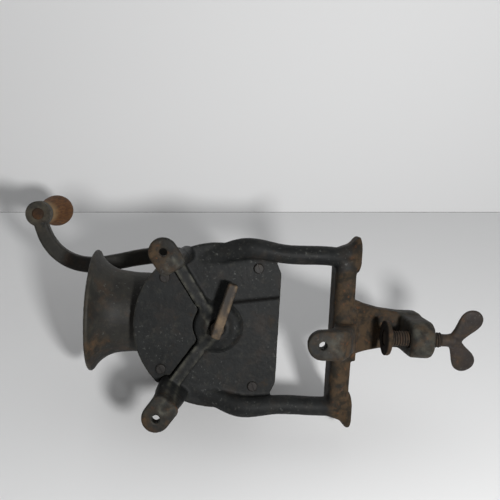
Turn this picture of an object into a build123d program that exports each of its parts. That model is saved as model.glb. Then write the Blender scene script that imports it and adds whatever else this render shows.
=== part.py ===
from build123d import *
import math
import os

os.makedirs("parts", exist_ok=True)

# Driving dimensions in millimetres
# Frame: +Z up with the hopper mouth, -Y towards the wall or table, +Y towards the crank.
# The origin is the middle of the table seat.

# Main axes
crank_z = 107.0
hopper_y = 48.0
clamp_x, clamp_y = -1.5, -10.0

# Back plate, ribs and boss of the frame
disc_r = 65.0
plate_t = 5.0
plate_low = -48.0
vee_x, vee_z = 28.2, 19.0
vee_apex = 6.0
vee_reach = 3.0
vee_angle = math.degrees(math.atan2(vee_z, vee_x))
rib_w = 9.0
rib_h = 4.5
rib_length = 60.0
rib_lap = 0.5
boss_r = 18.0
boss_y = -5.0
hub_r = 11.0
hub_y = -9.0
inner_boss_r = 15.0
inner_boss_y = 16.0
rear_bore_y = 5.0
adjust_bore_y = 6.0
adjust_bore_l = 30.0
corner_x = 43.0
corner_z = 4.0
corner_slant = 9.0
corner_reach = 57.0
corner_top = 30.0
seam_gap = 0.7
cut_size = 200.0

# Ears of the frame
wall_y = -46.0
ear_r = 10.5
ear_pad_t = 9.0
ear_lap = 1.0
ear_x = 60.0
ear_z = 41.5
ear_angle = math.degrees(math.atan2(ear_z, ear_x))
ear_reach = math.hypot(ear_x, ear_z)
ear_inner = 57.0
ear_root_reach = 60.0
ear_root_across = -3.5
ear_root_w, ear_root_l, ear_root_corner = 12.0, 25.0, 5.0
ear_root_y = 3.0
ear_top_reach = 63.0
ear_top_l = 20.6
ear_edge = 2.0
ear_hole_r = 3.0
ear_hole_over = 6.0
low_ear_x, low_ear_z = -2.0, 31.0
low_ear_r = 11.0
low_ear_t = 12.0
low_ear_tail = 16.0
low_ear_edge = 1.8
low_hole_over = 2.0
# Side outline of the stem of the low ear: depth, height
low_stem_outline = [
    (-44.0, 15.0), (-39.0, 9.5), (-26.0, 4.5), (-14.0, 1.0), (-12.0, 17.0),
    (-20.0, 19.5), (-28.0, 23.0), (-34.1, 28.0), (-36.0, 28.0), (-44.0, 19.0),
]

# Legs, feet and base bar
# Leg sections: height, middle across, half width, half depth, middle in depth
leg_sections = [
    (126.0, 50.0, 3.0, 1.2, 2.4),
    (115.0, 54.0, 6.0, 3.0, 1.6),
    (105.0, 57.6, 7.4, 4.2, 0.2),
    (95.0, 60.6, 8.2, 6.4, -1.9),
    (85.0, 62.0, 8.2, 8.0, -3.5),
    (74.0, 61.4, 7.8, 8.5, -4.0),
    (60.0, 59.4, 7.4, 8.5, -4.0),
    (42.0, 59.0, 7.3, 8.5, -4.0),
    (22.0, 59.2, 7.4, 8.5, -4.0),
    (10.0, 59.6, 7.8, 8.5, -4.0),
]
foot_x = 61.5
foot_w = 28.0
foot_rim = 2.5
foot_corner = 11.0
foot_top = 17.0
foot_waist = 5.0
foot_waist_x, foot_waist_y = 59.9, -0.6
foot_waist_w, foot_waist_d, foot_waist_corner = 19.5, 24.0, 8.0
foot_neck_x, foot_neck_y = 59.4, -4.0
foot_neck_w, foot_neck_d, foot_neck_corner = 14.4, 16.6, 6.0
base_d = 30.0
base_top = 18.5
base_low = 2.5
base_half = 58.0
base_edge = 6.0
pad_half = 20.0
pad_top = 14.5

# Clamp
web_y0, web_y1 = 15.5, 33.0
web_top = 14.0
web_edge = 3.0
web_lap = 2.0
# Right edge of the web below the seat: half width, height
web_side = [(24.5, 0.0), (21.5, -6.0), (18.6, -14.0), (16.2, -25.0)]
jaw_top = -41.0
jaw_low = -60.0
jaw_r = 14.5
jaw_corner_x, jaw_corner_z = 11.0, 4.0
jaw_edge = 4.5
jaw_top_edge = 3.0
clamp_r = 6.0
clamp_pad_r = 13.4
clamp_pad_top = -22.0
clamp_pad_t = 4.0
clamp_pad_edge = 1.2
clamp_tip_r = 3.5
clamp_tip_lap = 0.6
clamp_shoulder_gap = 0.4
clamp_head_r, clamp_head_t = 5.4, 1.3
clamp_recess_r, clamp_recess_d = 5.8, 1.9
clamp_head_gap = 0.2
clamp_thread_low = -67.0
clamp_neck_r = 4.8
clamp_neck_low, clamp_neck_top = -74.0, -66.0
wing_x, wing_z = 18.0, -88.0
wing_r = 9.2
wing_t = 6.0
# Right half of the wings before the turn: across, height
wing_half = [
    (0.0, -68.0), (4.6, -69.5), (6.5, -74.5), (wing_x - 5.6, wing_z + 7.3), (wing_x + 2.0, wing_z - 1.0),
    (wing_x + 5.0, wing_z - 7.6), (7.5, -84.6), (0.0, -82.2),
]
wing_turn = -18.0

# Drum, covers and hopper
cover_y0, cover_y1 = 5.0, 9.0
cover_step = 2.5
cover_inset = 0.5
cover_gap = 0.6
inner_boss_gap = 0.3
drum_r = 58.0
drum_wall = 6.0
drum_low = -46.0
floor_feed, floor_burr = 5.0, 3.0
drum_y1 = 82.0
trough_r = 26.0
trough_wall = 4.0
trough_rise = 60.0
part_y0, part_y1 = 60.0, 63.0
front_t = 5.0
front_edge = 1.5
front_lap = 1.0
front_boss_r = 15.0
front_boss_y = 103.0
spring_seat_r = 10.5
spring_seat_y = 88.0
outlet_half = 34.0
outlet_y0, outlet_y1 = 65.0, 80.0
outlet_cut = 12.0
throat_y0 = 12.0
throat_low, throat_top = 30.0, 70.0
neck_r = 33.0
neck_wall = 4.0
neck_low, neck_top = 40.0, 66.0
bowl_low, bowl_neck = 61.0, 68.0
hopper_rim_z = 103.0
lip_r, lip_z = 45.2, 101.8
bowl_cut_z = 110.0
# Hopper outside, from the neck to the rim, and inside: radius, height above the crank axis
hopper_outside = [(neck_r, neck_top), (33.4, 72.0), (35.2, 83.0), (39.0, 90.6), (45.0, 96.8), (49.6, 99.6)]
hopper_rim = [(49.6, 99.6), (50.2, 100.8), (49.6, 102.2), (48.0, hopper_rim_z), (46.4, hopper_rim_z), (lip_r, lip_z)]
hopper_inside = [(neck_r - neck_wall, bowl_neck), (29.6, 74.0), (31.6, 85.0), (36.0, 93.0), (lip_r, lip_z)]

# Screws of the covers
cover_screw_at = [(36.0, 42.0), (-36.0, 42.0)]
frame_screw_at = [(46.5, -30.0), (-46.5, -30.0)]
front_screw_reach = drum_r - 6.4
front_screw_angle = math.radians(35.5)
front_screw_x = front_screw_reach * math.cos(front_screw_angle)
front_screw_z = front_screw_reach * math.sin(front_screw_angle)
front_screw_at = [(x * front_screw_x, z * front_screw_z) for x in (1, -1) for z in (1, -1)]
front_screw_boss_r = 5.5
burr_screw_ring = 28.0
burr_screw_count, burr_screw_start = 3, 90.0
burr_screw_depth = 3.0
burr_screw_end = 0.5
screw_r = 2.0
screw_head_r = 4.0
screw_head_t = 2.0
screw_head_edge = 1.0
screw_boss_r = 6.6
screw_boss_l = 15.0
screw_depth = 11.0
screw_end = 1.0
front_screw_depth = 10.0
slot_l = 12.0
slot_w = 1.0
slot_d = 0.9
cover_slot_angle, frame_slot_angle, front_slot_angle, burr_slot_angle = 35.0, 20.0, 50.0, 10.0

# Shaft line
run_gap = 0.05
press_gap = 0.02
square_gap = 0.02
slide_gap = 0.07
rear_r = 6.0
rear_end_y, rear_step_y = 9.0, 20.0
shaft_r = 7.0
front_r = 6.0
adjust_r = 5.0
lever_angle = -16.0
lever_length = 43.0
lever_mid = 16.0
lever_w = 7.2
lever_t = 10.0
lever_y0 = -12.5
lever_corner = 1.6
lever_edge = 1.2
lever_lap = 1.0
ball_r = 2.98
ball_y = 8.0
ball_seat = 3.0
burr_r = 42.0
burr_square = 12.1
fixed_face = 77.0
fixed_bore_r = 13.0
fixed_tooth_r0 = 20.0
turn_y0, turn_face = 66.0, 73.0
turn_hub_r = 11.0
turn_hub_y0, turn_hub_y1 = 63.0, 75.0
turn_tooth_r0 = 25.5
feed_hole_ring, feed_hole_r, feed_hole_count = 19.0, 5.6, 5
tooth_count = 24
tooth_h = 1.5
tooth_w = 2.0
tooth_inset = 1.5
square_y0, square_y1 = 63.0, 75.1
crank_square = 8.4
seat_y0 = 104.5
stud_r = 4.0
stud_y1 = 129.0
worm_hub_r = 10.0
worm_r = 22.0
worm_pitch = 22.0
worm_y0, worm_y1 = 19.0, 63.0
flight_y0 = 27.5
flight_run = 32.0
flight_t = 2.6
flight_lap = 0.5
pin_y = 24.0
pin_r = 2.0
pin_inset = 0.3
pin_cut = 40.0
spring_y0 = 76.0
spring_r = 9.0
spring_pitch = 2.6
spring_length = 9.8
wire_r = 0.7

# Crank and knob
arm_y0, arm_y1 = 105.5, 116.5
arm_hub_r = 15.0
arm_end_r = 11.5
arm_edge = 2.5
arm_path = [
    (0.0, 0.0), (20.0, 6.0), (35.0, 20.0), (42.5, 41.0), (40.8, 61.5), (36.3, 82.3), (31.2, 104.0),
    (29.8, 117.0), (31.7, 130.3), (37.8, 143.1), (47.4, 153.0), (60.0, 159.8), (74.3, 163.8),
]
arm_width = [19.0, 17.5, 16.0, 15.0, 14.6, 14.4, 14.2, 14.0, 13.8, 13.4, 13.0, 12.6, 12.2]
knob_x, knob_z = arm_path[-1]
crank_washer_r, crank_washer_t = 10.5, 1.6
nut_r, nut_t = 9.2, 7.4
knob_pin_r = 4.0
knob_washer_r, knob_washer_t = 8.0, 1.2
knob_gap = 0.3
knob_y0 = arm_y1 + knob_washer_t + knob_gap
knob_length = 88.0
rivet_r, rivet_t, rivet_edge = 5.2, 1.8, 1.2
pin_head_r, pin_head_t, pin_head_in = 6.5, 2.8, 1.2
knob_recess_r = pin_head_r + 0.5
knob_recess_d = pin_head_in + pin_head_t + 0.4
knob_end_r = 9.2
# Outline of the knob: radius, run from the arm
knob_outline = [
    (knob_end_r, 0.0), (10.8, 2.2), (9.8, 5.2), (9.9, 16.0), (12.0, 36.0), (15.0, 60.0), (15.4, 72.0),
    (13.4, 82.5), (knob_end_r, knob_length),
]


def back(y):
    """Plane across the crank axis at depth y, with X across and Z up from the axis."""
    return Plane(origin=(0, y, crank_z), x_dir=(1, 0, 0), z_dir=(0, -1, 0))


def wall(y):
    """Plane at depth y with X across and Z up from the table seat."""
    return Plane(origin=(0, y, 0), x_dir=(1, 0, 0), z_dir=(0, -1, 0))


def level(z):
    """Level plane at height z above the table seat."""
    return Plane.XY.offset(z)


def ear_point(reach, across):
    """Point at a reach from the crank axis along the right ear, moved across it."""
    turn = math.radians(ear_angle)
    return (reach * math.cos(turn) - across * math.sin(turn), reach * math.sin(turn) + across * math.cos(turn), 0)


def corner_cut(side):
    """Outline of what is cut away outside one low corner of the plate."""
    return [
        (side * corner_x, plate_low - corner_z), (side * corner_x, plate_low),
        (side * (corner_x + corner_slant), plate_low + corner_z), (side * cut_size, plate_low + corner_z),
        (side * cut_size, plate_low - corner_z),
    ]


# Rear frame
with BuildPart() as ear_post:
    with BuildSketch(back(ear_root_y)):
        with Locations(Location(ear_point(ear_root_reach, ear_root_across), ear_angle)):
            RectangleRounded(ear_root_w, ear_root_l, ear_root_corner)
    with BuildSketch(back(wall_y + ear_pad_t - ear_lap)):
        with Locations(Location(ear_point(ear_top_reach, 0.0), ear_angle)):
            RectangleRounded(ear_root_w, ear_top_l, ear_root_corner)
    loft(ruled=True)

with BuildPart() as ear_pad:
    with BuildSketch(back(wall_y + ear_pad_t)) as pad_outline:
        with Locations(Location(ear_point(ear_reach, 0.0))):
            Circle(ear_r)
        with Locations(Location(ear_point((ear_inner + ear_reach) / 2, 0.0), ear_angle)):
            Rectangle(ear_reach - ear_inner, 2 * ear_r)
        fillet(pad_outline.vertices().sort_by_distance((0, 0, 0))[:2], ear_root_corner)
    extrude(amount=ear_pad_t)
    fillet(ear_pad.faces().sort_by(Axis.Y)[0].edges(), ear_edge)

with BuildPart() as leg:
    for leg_z, leg_x, leg_rx, leg_ry, leg_y in leg_sections:
        with BuildSketch(level(leg_z)):
            with Locations((leg_x, leg_y)):
                Ellipse(leg_rx, leg_ry)
    loft()

with BuildPart() as foot:
    with BuildSketch(level(0)):
        with Locations((foot_x, 0)):
            RectangleRounded(foot_w, base_d, foot_corner)
    extrude(amount=foot_rim)
    with BuildSketch(level(foot_rim)):
        with Locations((foot_x, 0)):
            RectangleRounded(foot_w, base_d, foot_corner)
    with BuildSketch(level(foot_rim + foot_waist)):
        with Locations((foot_waist_x, foot_waist_y)):
            RectangleRounded(foot_waist_w, foot_waist_d, foot_waist_corner)
    with BuildSketch(level(foot_top)):
        with Locations((foot_neck_x, foot_neck_y)):
            RectangleRounded(foot_neck_w, foot_neck_d, foot_neck_corner)
    loft(ruled=True)

with BuildPart() as base_bar:
    with Locations((0, 0, (base_top + base_low) / 2)):
        Box(2 * base_half, base_d, base_top - base_low)
    fillet(base_bar.edges().filter_by(Axis.X), base_edge)

with BuildPart() as low_ear:
    with BuildSketch(wall(wall_y + low_ear_t)):
        with Locations((low_ear_x, low_ear_z)):
            Circle(low_ear_r)
        with Locations((low_ear_x, low_ear_z - low_ear_tail / 2)):
            Rectangle(2 * low_ear_r, low_ear_tail)
    extrude(amount=low_ear_t)
    fillet(low_ear.faces().sort_by(Axis.Y)[0].edges().sort_by(Axis.Z)[1:], low_ear_edge)

with BuildPart() as low_stem:
    with BuildSketch(Plane.YZ.offset(low_ear_x)):
        with BuildLine():
            Polyline(*low_stem_outline, close=True)
        make_face()
    extrude(amount=low_ear_r, both=True)

with BuildPart() as clamp_web:
    with BuildSketch(wall(web_y1)):
        with BuildLine():
            web_right = [(web_side[0][0], web_top), *web_side, (jaw_r, jaw_top), (jaw_r, jaw_low + jaw_corner_z),
                         (jaw_corner_x, jaw_low)]
            Polyline(*web_right, *[(-x, z) for x, z in web_right[::-1]], close=True)
        make_face()
    extrude(amount=web_y1 - web_y0)
    with BuildSketch(wall(web_y1)):
        with Locations((0, web_top / 2)):
            Rectangle(2 * pad_half, web_top)
    extrude(amount=web_y1)
    fillet(clamp_web.faces().sort_by(Axis.Y)[-1].edges(), web_edge)

with BuildPart() as clamp_jaw:
    with BuildSketch(level(jaw_low)):
        with Locations((clamp_x, clamp_y)):
            Circle(jaw_r)
        with Locations((clamp_x, (clamp_y + web_y0 + web_lap) / 2)):
            Rectangle(2 * jaw_r, web_y0 + web_lap - clamp_y)
    extrude(amount=jaw_top - jaw_low)
    fillet(clamp_jaw.faces().sort_by(Axis.Z)[0].edges().sort_by(Axis.Y)[:-1], jaw_edge)
    fillet(clamp_jaw.faces().sort_by(Axis.Z)[-1].edges().sort_by(Axis.Y)[:-1], jaw_top_edge)

with BuildPart() as rear_frame:
    with BuildSketch(back(plate_t)):
        Circle(disc_r)
        with Locations((0, (plate_low - corner_top) / 2)):
            Rectangle(2 * corner_reach, -plate_low - corner_top)
        with BuildLine():
            Polyline((0, vee_apex), (vee_reach * vee_x, vee_apex + vee_reach * vee_z), (vee_reach * vee_x, cut_size),
                     (-vee_reach * vee_x, cut_size), (-vee_reach * vee_x, vee_apex + vee_reach * vee_z), close=True)
        make_face(mode=Mode.SUBTRACT)
        with Locations((0, plate_low - cut_size / 2)):
            Rectangle(cut_size, cut_size, mode=Mode.SUBTRACT)
        for side in (1, -1):
            with BuildLine():
                Polyline(*corner_cut(side), close=True)
            make_face(mode=Mode.SUBTRACT)
        Circle(boss_r)
    extrude(amount=plate_t)
    with BuildSketch(back(0)):
        Circle(boss_r)
    extrude(amount=-boss_y)
    with BuildSketch(back(boss_y)):
        Circle(hub_r)
    extrude(amount=boss_y - hub_y)
    with BuildSketch(back(inner_boss_y)):
        Circle(inner_boss_r)
    extrude(amount=inner_boss_y)
    for side in (1, -1):
        rib_mid_x = rib_length / 2 * math.cos(math.radians(vee_angle)) + rib_w / 2 * math.sin(math.radians(vee_angle))
        rib_mid_z = (vee_apex + rib_length / 2 * math.sin(math.radians(vee_angle))
                     - rib_w / 2 * math.cos(math.radians(vee_angle)))
        with BuildSketch(back(rib_lap)):
            with Locations(Location((side * rib_mid_x, rib_mid_z, 0), side * vee_angle)):
                Rectangle(rib_length, rib_w)
        extrude(amount=rib_h + rib_lap)
    add(ear_post.part)
    add(mirror(ear_post.part, Plane.YZ, mode=Mode.PRIVATE))
    add(ear_pad.part)
    add(mirror(ear_pad.part, Plane.YZ, mode=Mode.PRIVATE))
    add(leg.part)
    add(mirror(leg.part, Plane.YZ, mode=Mode.PRIVATE))
    add(foot.part)
    add(mirror(foot.part, Plane.YZ, mode=Mode.PRIVATE))
    add(base_bar.part)
    add(low_stem.part)
    add(low_ear.part)
    add(clamp_web.part)
    add(clamp_jaw.part)
    with Locations((0, 0, pad_top / 2)):
        Box(2 * pad_half, base_d, pad_top)
    # Thread bore of the adjusting screw and bearing bore of the shaft
    with BuildSketch(back(adjust_bore_y)):
        Circle(adjust_r + run_gap)
    extrude(amount=adjust_bore_l, mode=Mode.SUBTRACT)
    with BuildSketch(back(inner_boss_y)):
        Circle(rear_r + run_gap)
    extrude(amount=inner_boss_y - rear_bore_y, mode=Mode.SUBTRACT)
    # Holes of the two long screws
    with BuildSketch(back(plate_t)):
        with Locations(*frame_screw_at):
            Circle(screw_r + run_gap)
    extrude(amount=plate_t, mode=Mode.SUBTRACT)
    # Screw holes of the three ears
    with BuildSketch(back(wall_y + ear_pad_t + ear_hole_over)):
        with Locations((ear_x, ear_z), (-ear_x, ear_z)):
            Circle(ear_hole_r)
    extrude(amount=ear_pad_t + ear_hole_over, mode=Mode.SUBTRACT)
    with BuildSketch(wall(wall_y + low_ear_t + low_hole_over)):
        with Locations((low_ear_x, low_ear_z)):
            Circle(ear_hole_r)
    extrude(amount=low_ear_t + low_hole_over, mode=Mode.SUBTRACT)
    # Thread bore of the clamp screw
    with BuildSketch(level(jaw_low)):
        with Locations((clamp_x, clamp_y)):
            Circle(clamp_r + run_gap)
    extrude(amount=jaw_top - jaw_low, mode=Mode.SUBTRACT)

# Back cover with its raised upper half
with BuildPart() as back_cover:
    with BuildSketch(back(cover_y1)):
        Circle(disc_r - cover_inset)
        with Locations((0, plate_low - cut_size / 2)):
            Rectangle(cut_size, cut_size, mode=Mode.SUBTRACT)
        for side in (1, -1):
            with BuildLine():
                Polyline(*corner_cut(side), close=True)
            make_face(mode=Mode.SUBTRACT)
    extrude(amount=cover_y1 - cover_y0)
    with BuildSketch(back(cover_y0)):
        Circle(disc_r)
        with BuildLine():
            Polyline((0, vee_apex + seam_gap), (vee_reach * vee_x, vee_apex + seam_gap + vee_reach * vee_z),
                     (vee_reach * vee_x, -cut_size), (-vee_reach * vee_x, -cut_size),
                     (-vee_reach * vee_x, vee_apex + seam_gap + vee_reach * vee_z), close=True)
        make_face(mode=Mode.SUBTRACT)
        Circle(boss_r + cover_gap, mode=Mode.SUBTRACT)
        root_x, root_z, root_y = ear_point(ear_root_reach, ear_root_across)
        for side in (1, -1):
            with Locations(Location((side * root_x, root_z, 0), side * ear_angle)):
                RectangleRounded(ear_root_w + 2 * cover_gap, ear_root_l + 2 * cover_gap, ear_root_corner + cover_gap,
                                 mode=Mode.SUBTRACT)
    extrude(amount=cover_step)
    with BuildSketch(back(cover_y1)):
        Circle(inner_boss_r + inner_boss_gap)
        with Locations(*cover_screw_at, *frame_screw_at):
            Circle(screw_r + run_gap)
    extrude(amount=cover_y1, mode=Mode.SUBTRACT)

# Hopper housing
with BuildPart() as hopper_housing:
    with BuildSketch(back(drum_y1)):
        Circle(drum_r)
        with Locations((0, drum_low - cut_size / 2)):
            Rectangle(cut_size, cut_size, mode=Mode.SUBTRACT)
    extrude(amount=drum_y1 - cover_y1)
    # Neck and hopper as a turned solid
    with BuildSketch(Plane(origin=(0, hopper_y, crank_z), x_dir=(1, 0, 0), z_dir=(0, -1, 0))):
        with BuildLine():
            Polyline((0, neck_low), (neck_r, neck_low), (neck_r, neck_top))
            Spline(*hopper_outside, tangents=[(0, 1), (1, 0.5)])
            Polyline(*hopper_rim)
            Polyline((lip_r, lip_z), (0, lip_z), (0, neck_low))
        make_face()
    revolve(axis=Axis((0, hopper_y, 0), (0, 0, 1)))
    # Bosses of the cover screws
    with BuildSketch(back(cover_y1 + screw_boss_l)):
        with Locations(*cover_screw_at, *frame_screw_at):
            Circle(screw_boss_r)
    extrude(amount=screw_boss_l)
    # Hollow of the feed side, with the trough left standing
    with BuildSketch(back(part_y0)):
        Circle(drum_r - drum_wall)
        with Locations((0, drum_low + floor_feed - cut_size / 2)):
            Rectangle(cut_size, cut_size, mode=Mode.SUBTRACT)
        Circle(trough_r + trough_wall, mode=Mode.SUBTRACT)
        with Locations((0, trough_rise / 2)):
            Rectangle(2 * (trough_r + trough_wall), trough_rise, mode=Mode.SUBTRACT)
        with Locations(*cover_screw_at, *frame_screw_at):
            Circle(screw_boss_r, mode=Mode.SUBTRACT)
    extrude(amount=part_y0 - cover_y1, mode=Mode.SUBTRACT)
    with BuildSketch(back(part_y0)):
        Circle(drum_r - drum_wall)
        with Locations((0, cut_size / 2)):
            Rectangle(2 * trough_r, cut_size, mode=Mode.INTERSECT)
        Circle(trough_r)
    extrude(amount=part_y0 - cover_y1, mode=Mode.SUBTRACT)
    # Round mouth of the trough through the partition
    with BuildSketch(back(part_y1)):
        Circle(trough_r)
    extrude(amount=part_y1 - part_y0, mode=Mode.SUBTRACT)
    # Burr chamber with its outlet
    with BuildSketch(back(drum_y1)):
        Circle(drum_r - drum_wall)
        with Locations((0, drum_low + floor_burr - cut_size / 2)):
            Rectangle(cut_size, cut_size, mode=Mode.SUBTRACT)
        with Locations(*front_screw_at):
            Circle(front_screw_boss_r, mode=Mode.SUBTRACT)
    extrude(amount=drum_y1 - part_y1, mode=Mode.SUBTRACT)
    with Locations((0, (outlet_y0 + outlet_y1) / 2, crank_z + drum_low)):
        Box(2 * outlet_half, outlet_y1 - outlet_y0, outlet_cut, mode=Mode.SUBTRACT)
    # Way from the neck into the trough
    with BuildPart(mode=Mode.SUBTRACT):
        with BuildSketch(level(crank_z + throat_low)):
            with Locations((0, hopper_y)):
                Circle(neck_r - neck_wall)
            with Locations((0, (throat_y0 + part_y0) / 2)):
                Rectangle(2 * trough_r, part_y0 - throat_y0, mode=Mode.INTERSECT)
        extrude(amount=throat_top - throat_low)
    # Hollow of the hopper
    with BuildSketch(Plane(origin=(0, hopper_y, crank_z), x_dir=(1, 0, 0), z_dir=(0, -1, 0))):
        with BuildLine():
            Polyline((0, bowl_low), (neck_r - neck_wall, bowl_low), (neck_r - neck_wall, bowl_neck))
            Spline(*hopper_inside, tangents=[(0, 1), (1, 0.8)])
            Polyline((lip_r, lip_z), (lip_r, bowl_cut_z), (0, bowl_cut_z), (0, bowl_low))
        make_face()
    revolve(axis=Axis((0, hopper_y, 0), (0, 0, 1)), mode=Mode.SUBTRACT)
    # Screw holes
    with BuildSketch(back(cover_y1 + screw_depth + screw_end)):
        with Locations(*cover_screw_at, *frame_screw_at):
            Circle(screw_r + run_gap)
    extrude(amount=screw_depth + screw_end, mode=Mode.SUBTRACT)
    with BuildSketch(back(drum_y1)):
        with Locations(*front_screw_at):
            Circle(screw_r + run_gap)
    extrude(amount=front_screw_depth + screw_end, mode=Mode.SUBTRACT)

# Front cover with the bearing boss
with BuildPart() as front_cover:
    with BuildSketch(back(drum_y1 + front_t)):
        Circle(drum_r)
        with Locations((0, drum_low - cut_size / 2)):
            Rectangle(cut_size, cut_size, mode=Mode.SUBTRACT)
    extrude(amount=front_t)
    fillet(front_cover.faces().sort_by(Axis.Y)[-1].edges(), front_edge)
    with BuildSketch(back(front_boss_y)):
        Circle(front_boss_r)
    extrude(amount=front_boss_y - drum_y1 - front_lap)
    with BuildSketch(back(front_boss_y)):
        Circle(front_r + run_gap)
    extrude(amount=front_boss_y - drum_y1, mode=Mode.SUBTRACT)
    with BuildSketch(back(spring_seat_y)):
        Circle(spring_seat_r)
    extrude(amount=spring_seat_y - drum_y1, mode=Mode.SUBTRACT)
    with BuildSketch(back(drum_y1 + front_t)):
        with Locations(*front_screw_at):
            Circle(screw_r + run_gap)
        with PolarLocations(burr_screw_ring, burr_screw_count, burr_screw_start):
            Circle(screw_r + run_gap)
    extrude(amount=front_t, mode=Mode.SUBTRACT)


# Slotted screws that enter along +Y, or along -Y on the crank side
with BuildPart() as cover_screws:
    cover_face = cover_y0 - cover_step
    with BuildSketch(back(cover_y1 + screw_depth)):
        with Locations(*cover_screw_at):
            Circle(screw_r)
    extrude(amount=cover_y1 + screw_depth - cover_face)
    with BuildSketch(back(cover_face)):
        with Locations(*cover_screw_at):
            Circle(screw_head_r)
    extrude(amount=screw_head_t)
    fillet(cover_screws.faces().sort_by(Axis.Y)[:2].edges(), screw_head_edge)
    with BuildSketch(back(cover_face - screw_head_t + slot_d)):
        with Locations(*cover_screw_at):
            Rectangle(slot_l, slot_w, rotation=cover_slot_angle)
    extrude(amount=slot_d, mode=Mode.SUBTRACT)

with BuildPart() as frame_screws:
    with BuildSketch(back(cover_y1 + screw_depth)):
        with Locations(*frame_screw_at):
            Circle(screw_r)
    extrude(amount=cover_y1 + screw_depth)
    with BuildSketch(back(0)):
        with Locations(*frame_screw_at):
            Circle(screw_head_r)
    extrude(amount=screw_head_t)
    fillet(frame_screws.faces().sort_by(Axis.Y)[:2].edges(), screw_head_edge)
    with BuildSketch(back(slot_d - screw_head_t)):
        with Locations(*frame_screw_at):
            Rectangle(slot_l, slot_w, rotation=frame_slot_angle)
    extrude(amount=slot_d, mode=Mode.SUBTRACT)

with BuildPart() as front_screws:
    front_face = drum_y1 + front_t
    with BuildSketch(back(front_face)):
        with Locations(*front_screw_at):
            Circle(screw_r)
    extrude(amount=front_t + front_screw_depth)
    with BuildSketch(back(front_face + screw_head_t)):
        with Locations(*front_screw_at):
            Circle(screw_head_r)
    extrude(amount=screw_head_t)
    with BuildSketch(back(front_face + screw_head_t)):
        with Locations(*front_screw_at):
            Rectangle(slot_l, slot_w, rotation=front_slot_angle)
    extrude(amount=slot_d, mode=Mode.SUBTRACT)

with BuildPart() as burr_screws:
    with BuildSketch(back(front_face)):
        with PolarLocations(burr_screw_ring, burr_screw_count, burr_screw_start):
            Circle(screw_r)
    extrude(amount=front_t + burr_screw_depth)
    with BuildSketch(back(front_face + screw_head_t)):
        with PolarLocations(burr_screw_ring, burr_screw_count, burr_screw_start):
            Circle(screw_head_r)
    extrude(amount=screw_head_t)
    with BuildSketch(back(front_face + screw_head_t)):
        with PolarLocations(burr_screw_ring, burr_screw_count, burr_screw_start, rotate=False):
            Rectangle(slot_l, slot_w, rotation=burr_slot_angle)
    extrude(amount=slot_d, mode=Mode.SUBTRACT)

# Fixed burr, its teeth towards the rotating burr
with BuildPart() as fixed_burr:
    with BuildSketch(back(drum_y1)):
        Circle(burr_r)
        Circle(fixed_bore_r, mode=Mode.SUBTRACT)
    extrude(amount=drum_y1 - fixed_face)
    with BuildSketch(back(fixed_face)):
        with PolarLocations(0, tooth_count):
            with Locations(Location(((fixed_tooth_r0 + burr_r - tooth_inset) / 2, 0, 0))):
                Rectangle(burr_r - tooth_inset - fixed_tooth_r0, tooth_w)
    extrude(amount=tooth_h)
    with BuildSketch(back(drum_y1)):
        with PolarLocations(burr_screw_ring, burr_screw_count, burr_screw_start):
            Circle(screw_r + run_gap)
    extrude(amount=burr_screw_depth + burr_screw_end, mode=Mode.SUBTRACT)

# Rotating burr on the square of the shaft
with BuildPart() as rotating_burr:
    with BuildSketch(back(turn_face)):
        Circle(burr_r)
        with PolarLocations(feed_hole_ring, feed_hole_count):
            Circle(feed_hole_r, mode=Mode.SUBTRACT)
    extrude(amount=turn_face - turn_y0)
    with BuildSketch(back(turn_face + tooth_h)):
        with PolarLocations(0, tooth_count, 180 / tooth_count):
            with Locations(Location(((turn_tooth_r0 + burr_r - tooth_inset) / 2, 0, 0))):
                Rectangle(burr_r - tooth_inset - turn_tooth_r0, tooth_w)
    extrude(amount=tooth_h)
    with BuildSketch(back(turn_hub_y1)):
        Circle(turn_hub_r)
    extrude(amount=turn_hub_y1 - turn_hub_y0)
    with BuildSketch(back(turn_hub_y1)):
        Rectangle(burr_square + 2 * square_gap, burr_square + 2 * square_gap)
    extrude(amount=turn_hub_y1 - turn_hub_y0, mode=Mode.SUBTRACT)

# Shaft from the thrust ball to the crank nut
with BuildPart() as crank_shaft:
    with BuildSketch(back(rear_step_y)):
        Circle(rear_r)
    extrude(amount=rear_step_y - rear_end_y)
    with BuildSketch(back(square_y0)):
        Circle(shaft_r)
    extrude(amount=square_y0 - rear_step_y)
    with BuildSketch(back(square_y1)):
        Rectangle(burr_square, burr_square)
    extrude(amount=square_y1 - square_y0)
    with BuildSketch(back(seat_y0)):
        Circle(front_r)
    extrude(amount=seat_y0 - square_y1)
    with BuildSketch(back(arm_y1)):
        Rectangle(crank_square, crank_square)
    extrude(amount=arm_y1 - seat_y0)
    with BuildSketch(back(stud_y1)):
        Circle(stud_r)
    extrude(amount=stud_y1 - arm_y1)
    with BuildSketch(back(ball_y + ball_seat)):
        Circle(ball_r + slide_gap)
    extrude(amount=ball_seat, mode=Mode.SUBTRACT)
    with Locations((0, pin_y, crank_z)):
        Cylinder(pin_r + press_gap, pin_cut, rotation=(0, 90, 0), mode=Mode.SUBTRACT)

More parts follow.
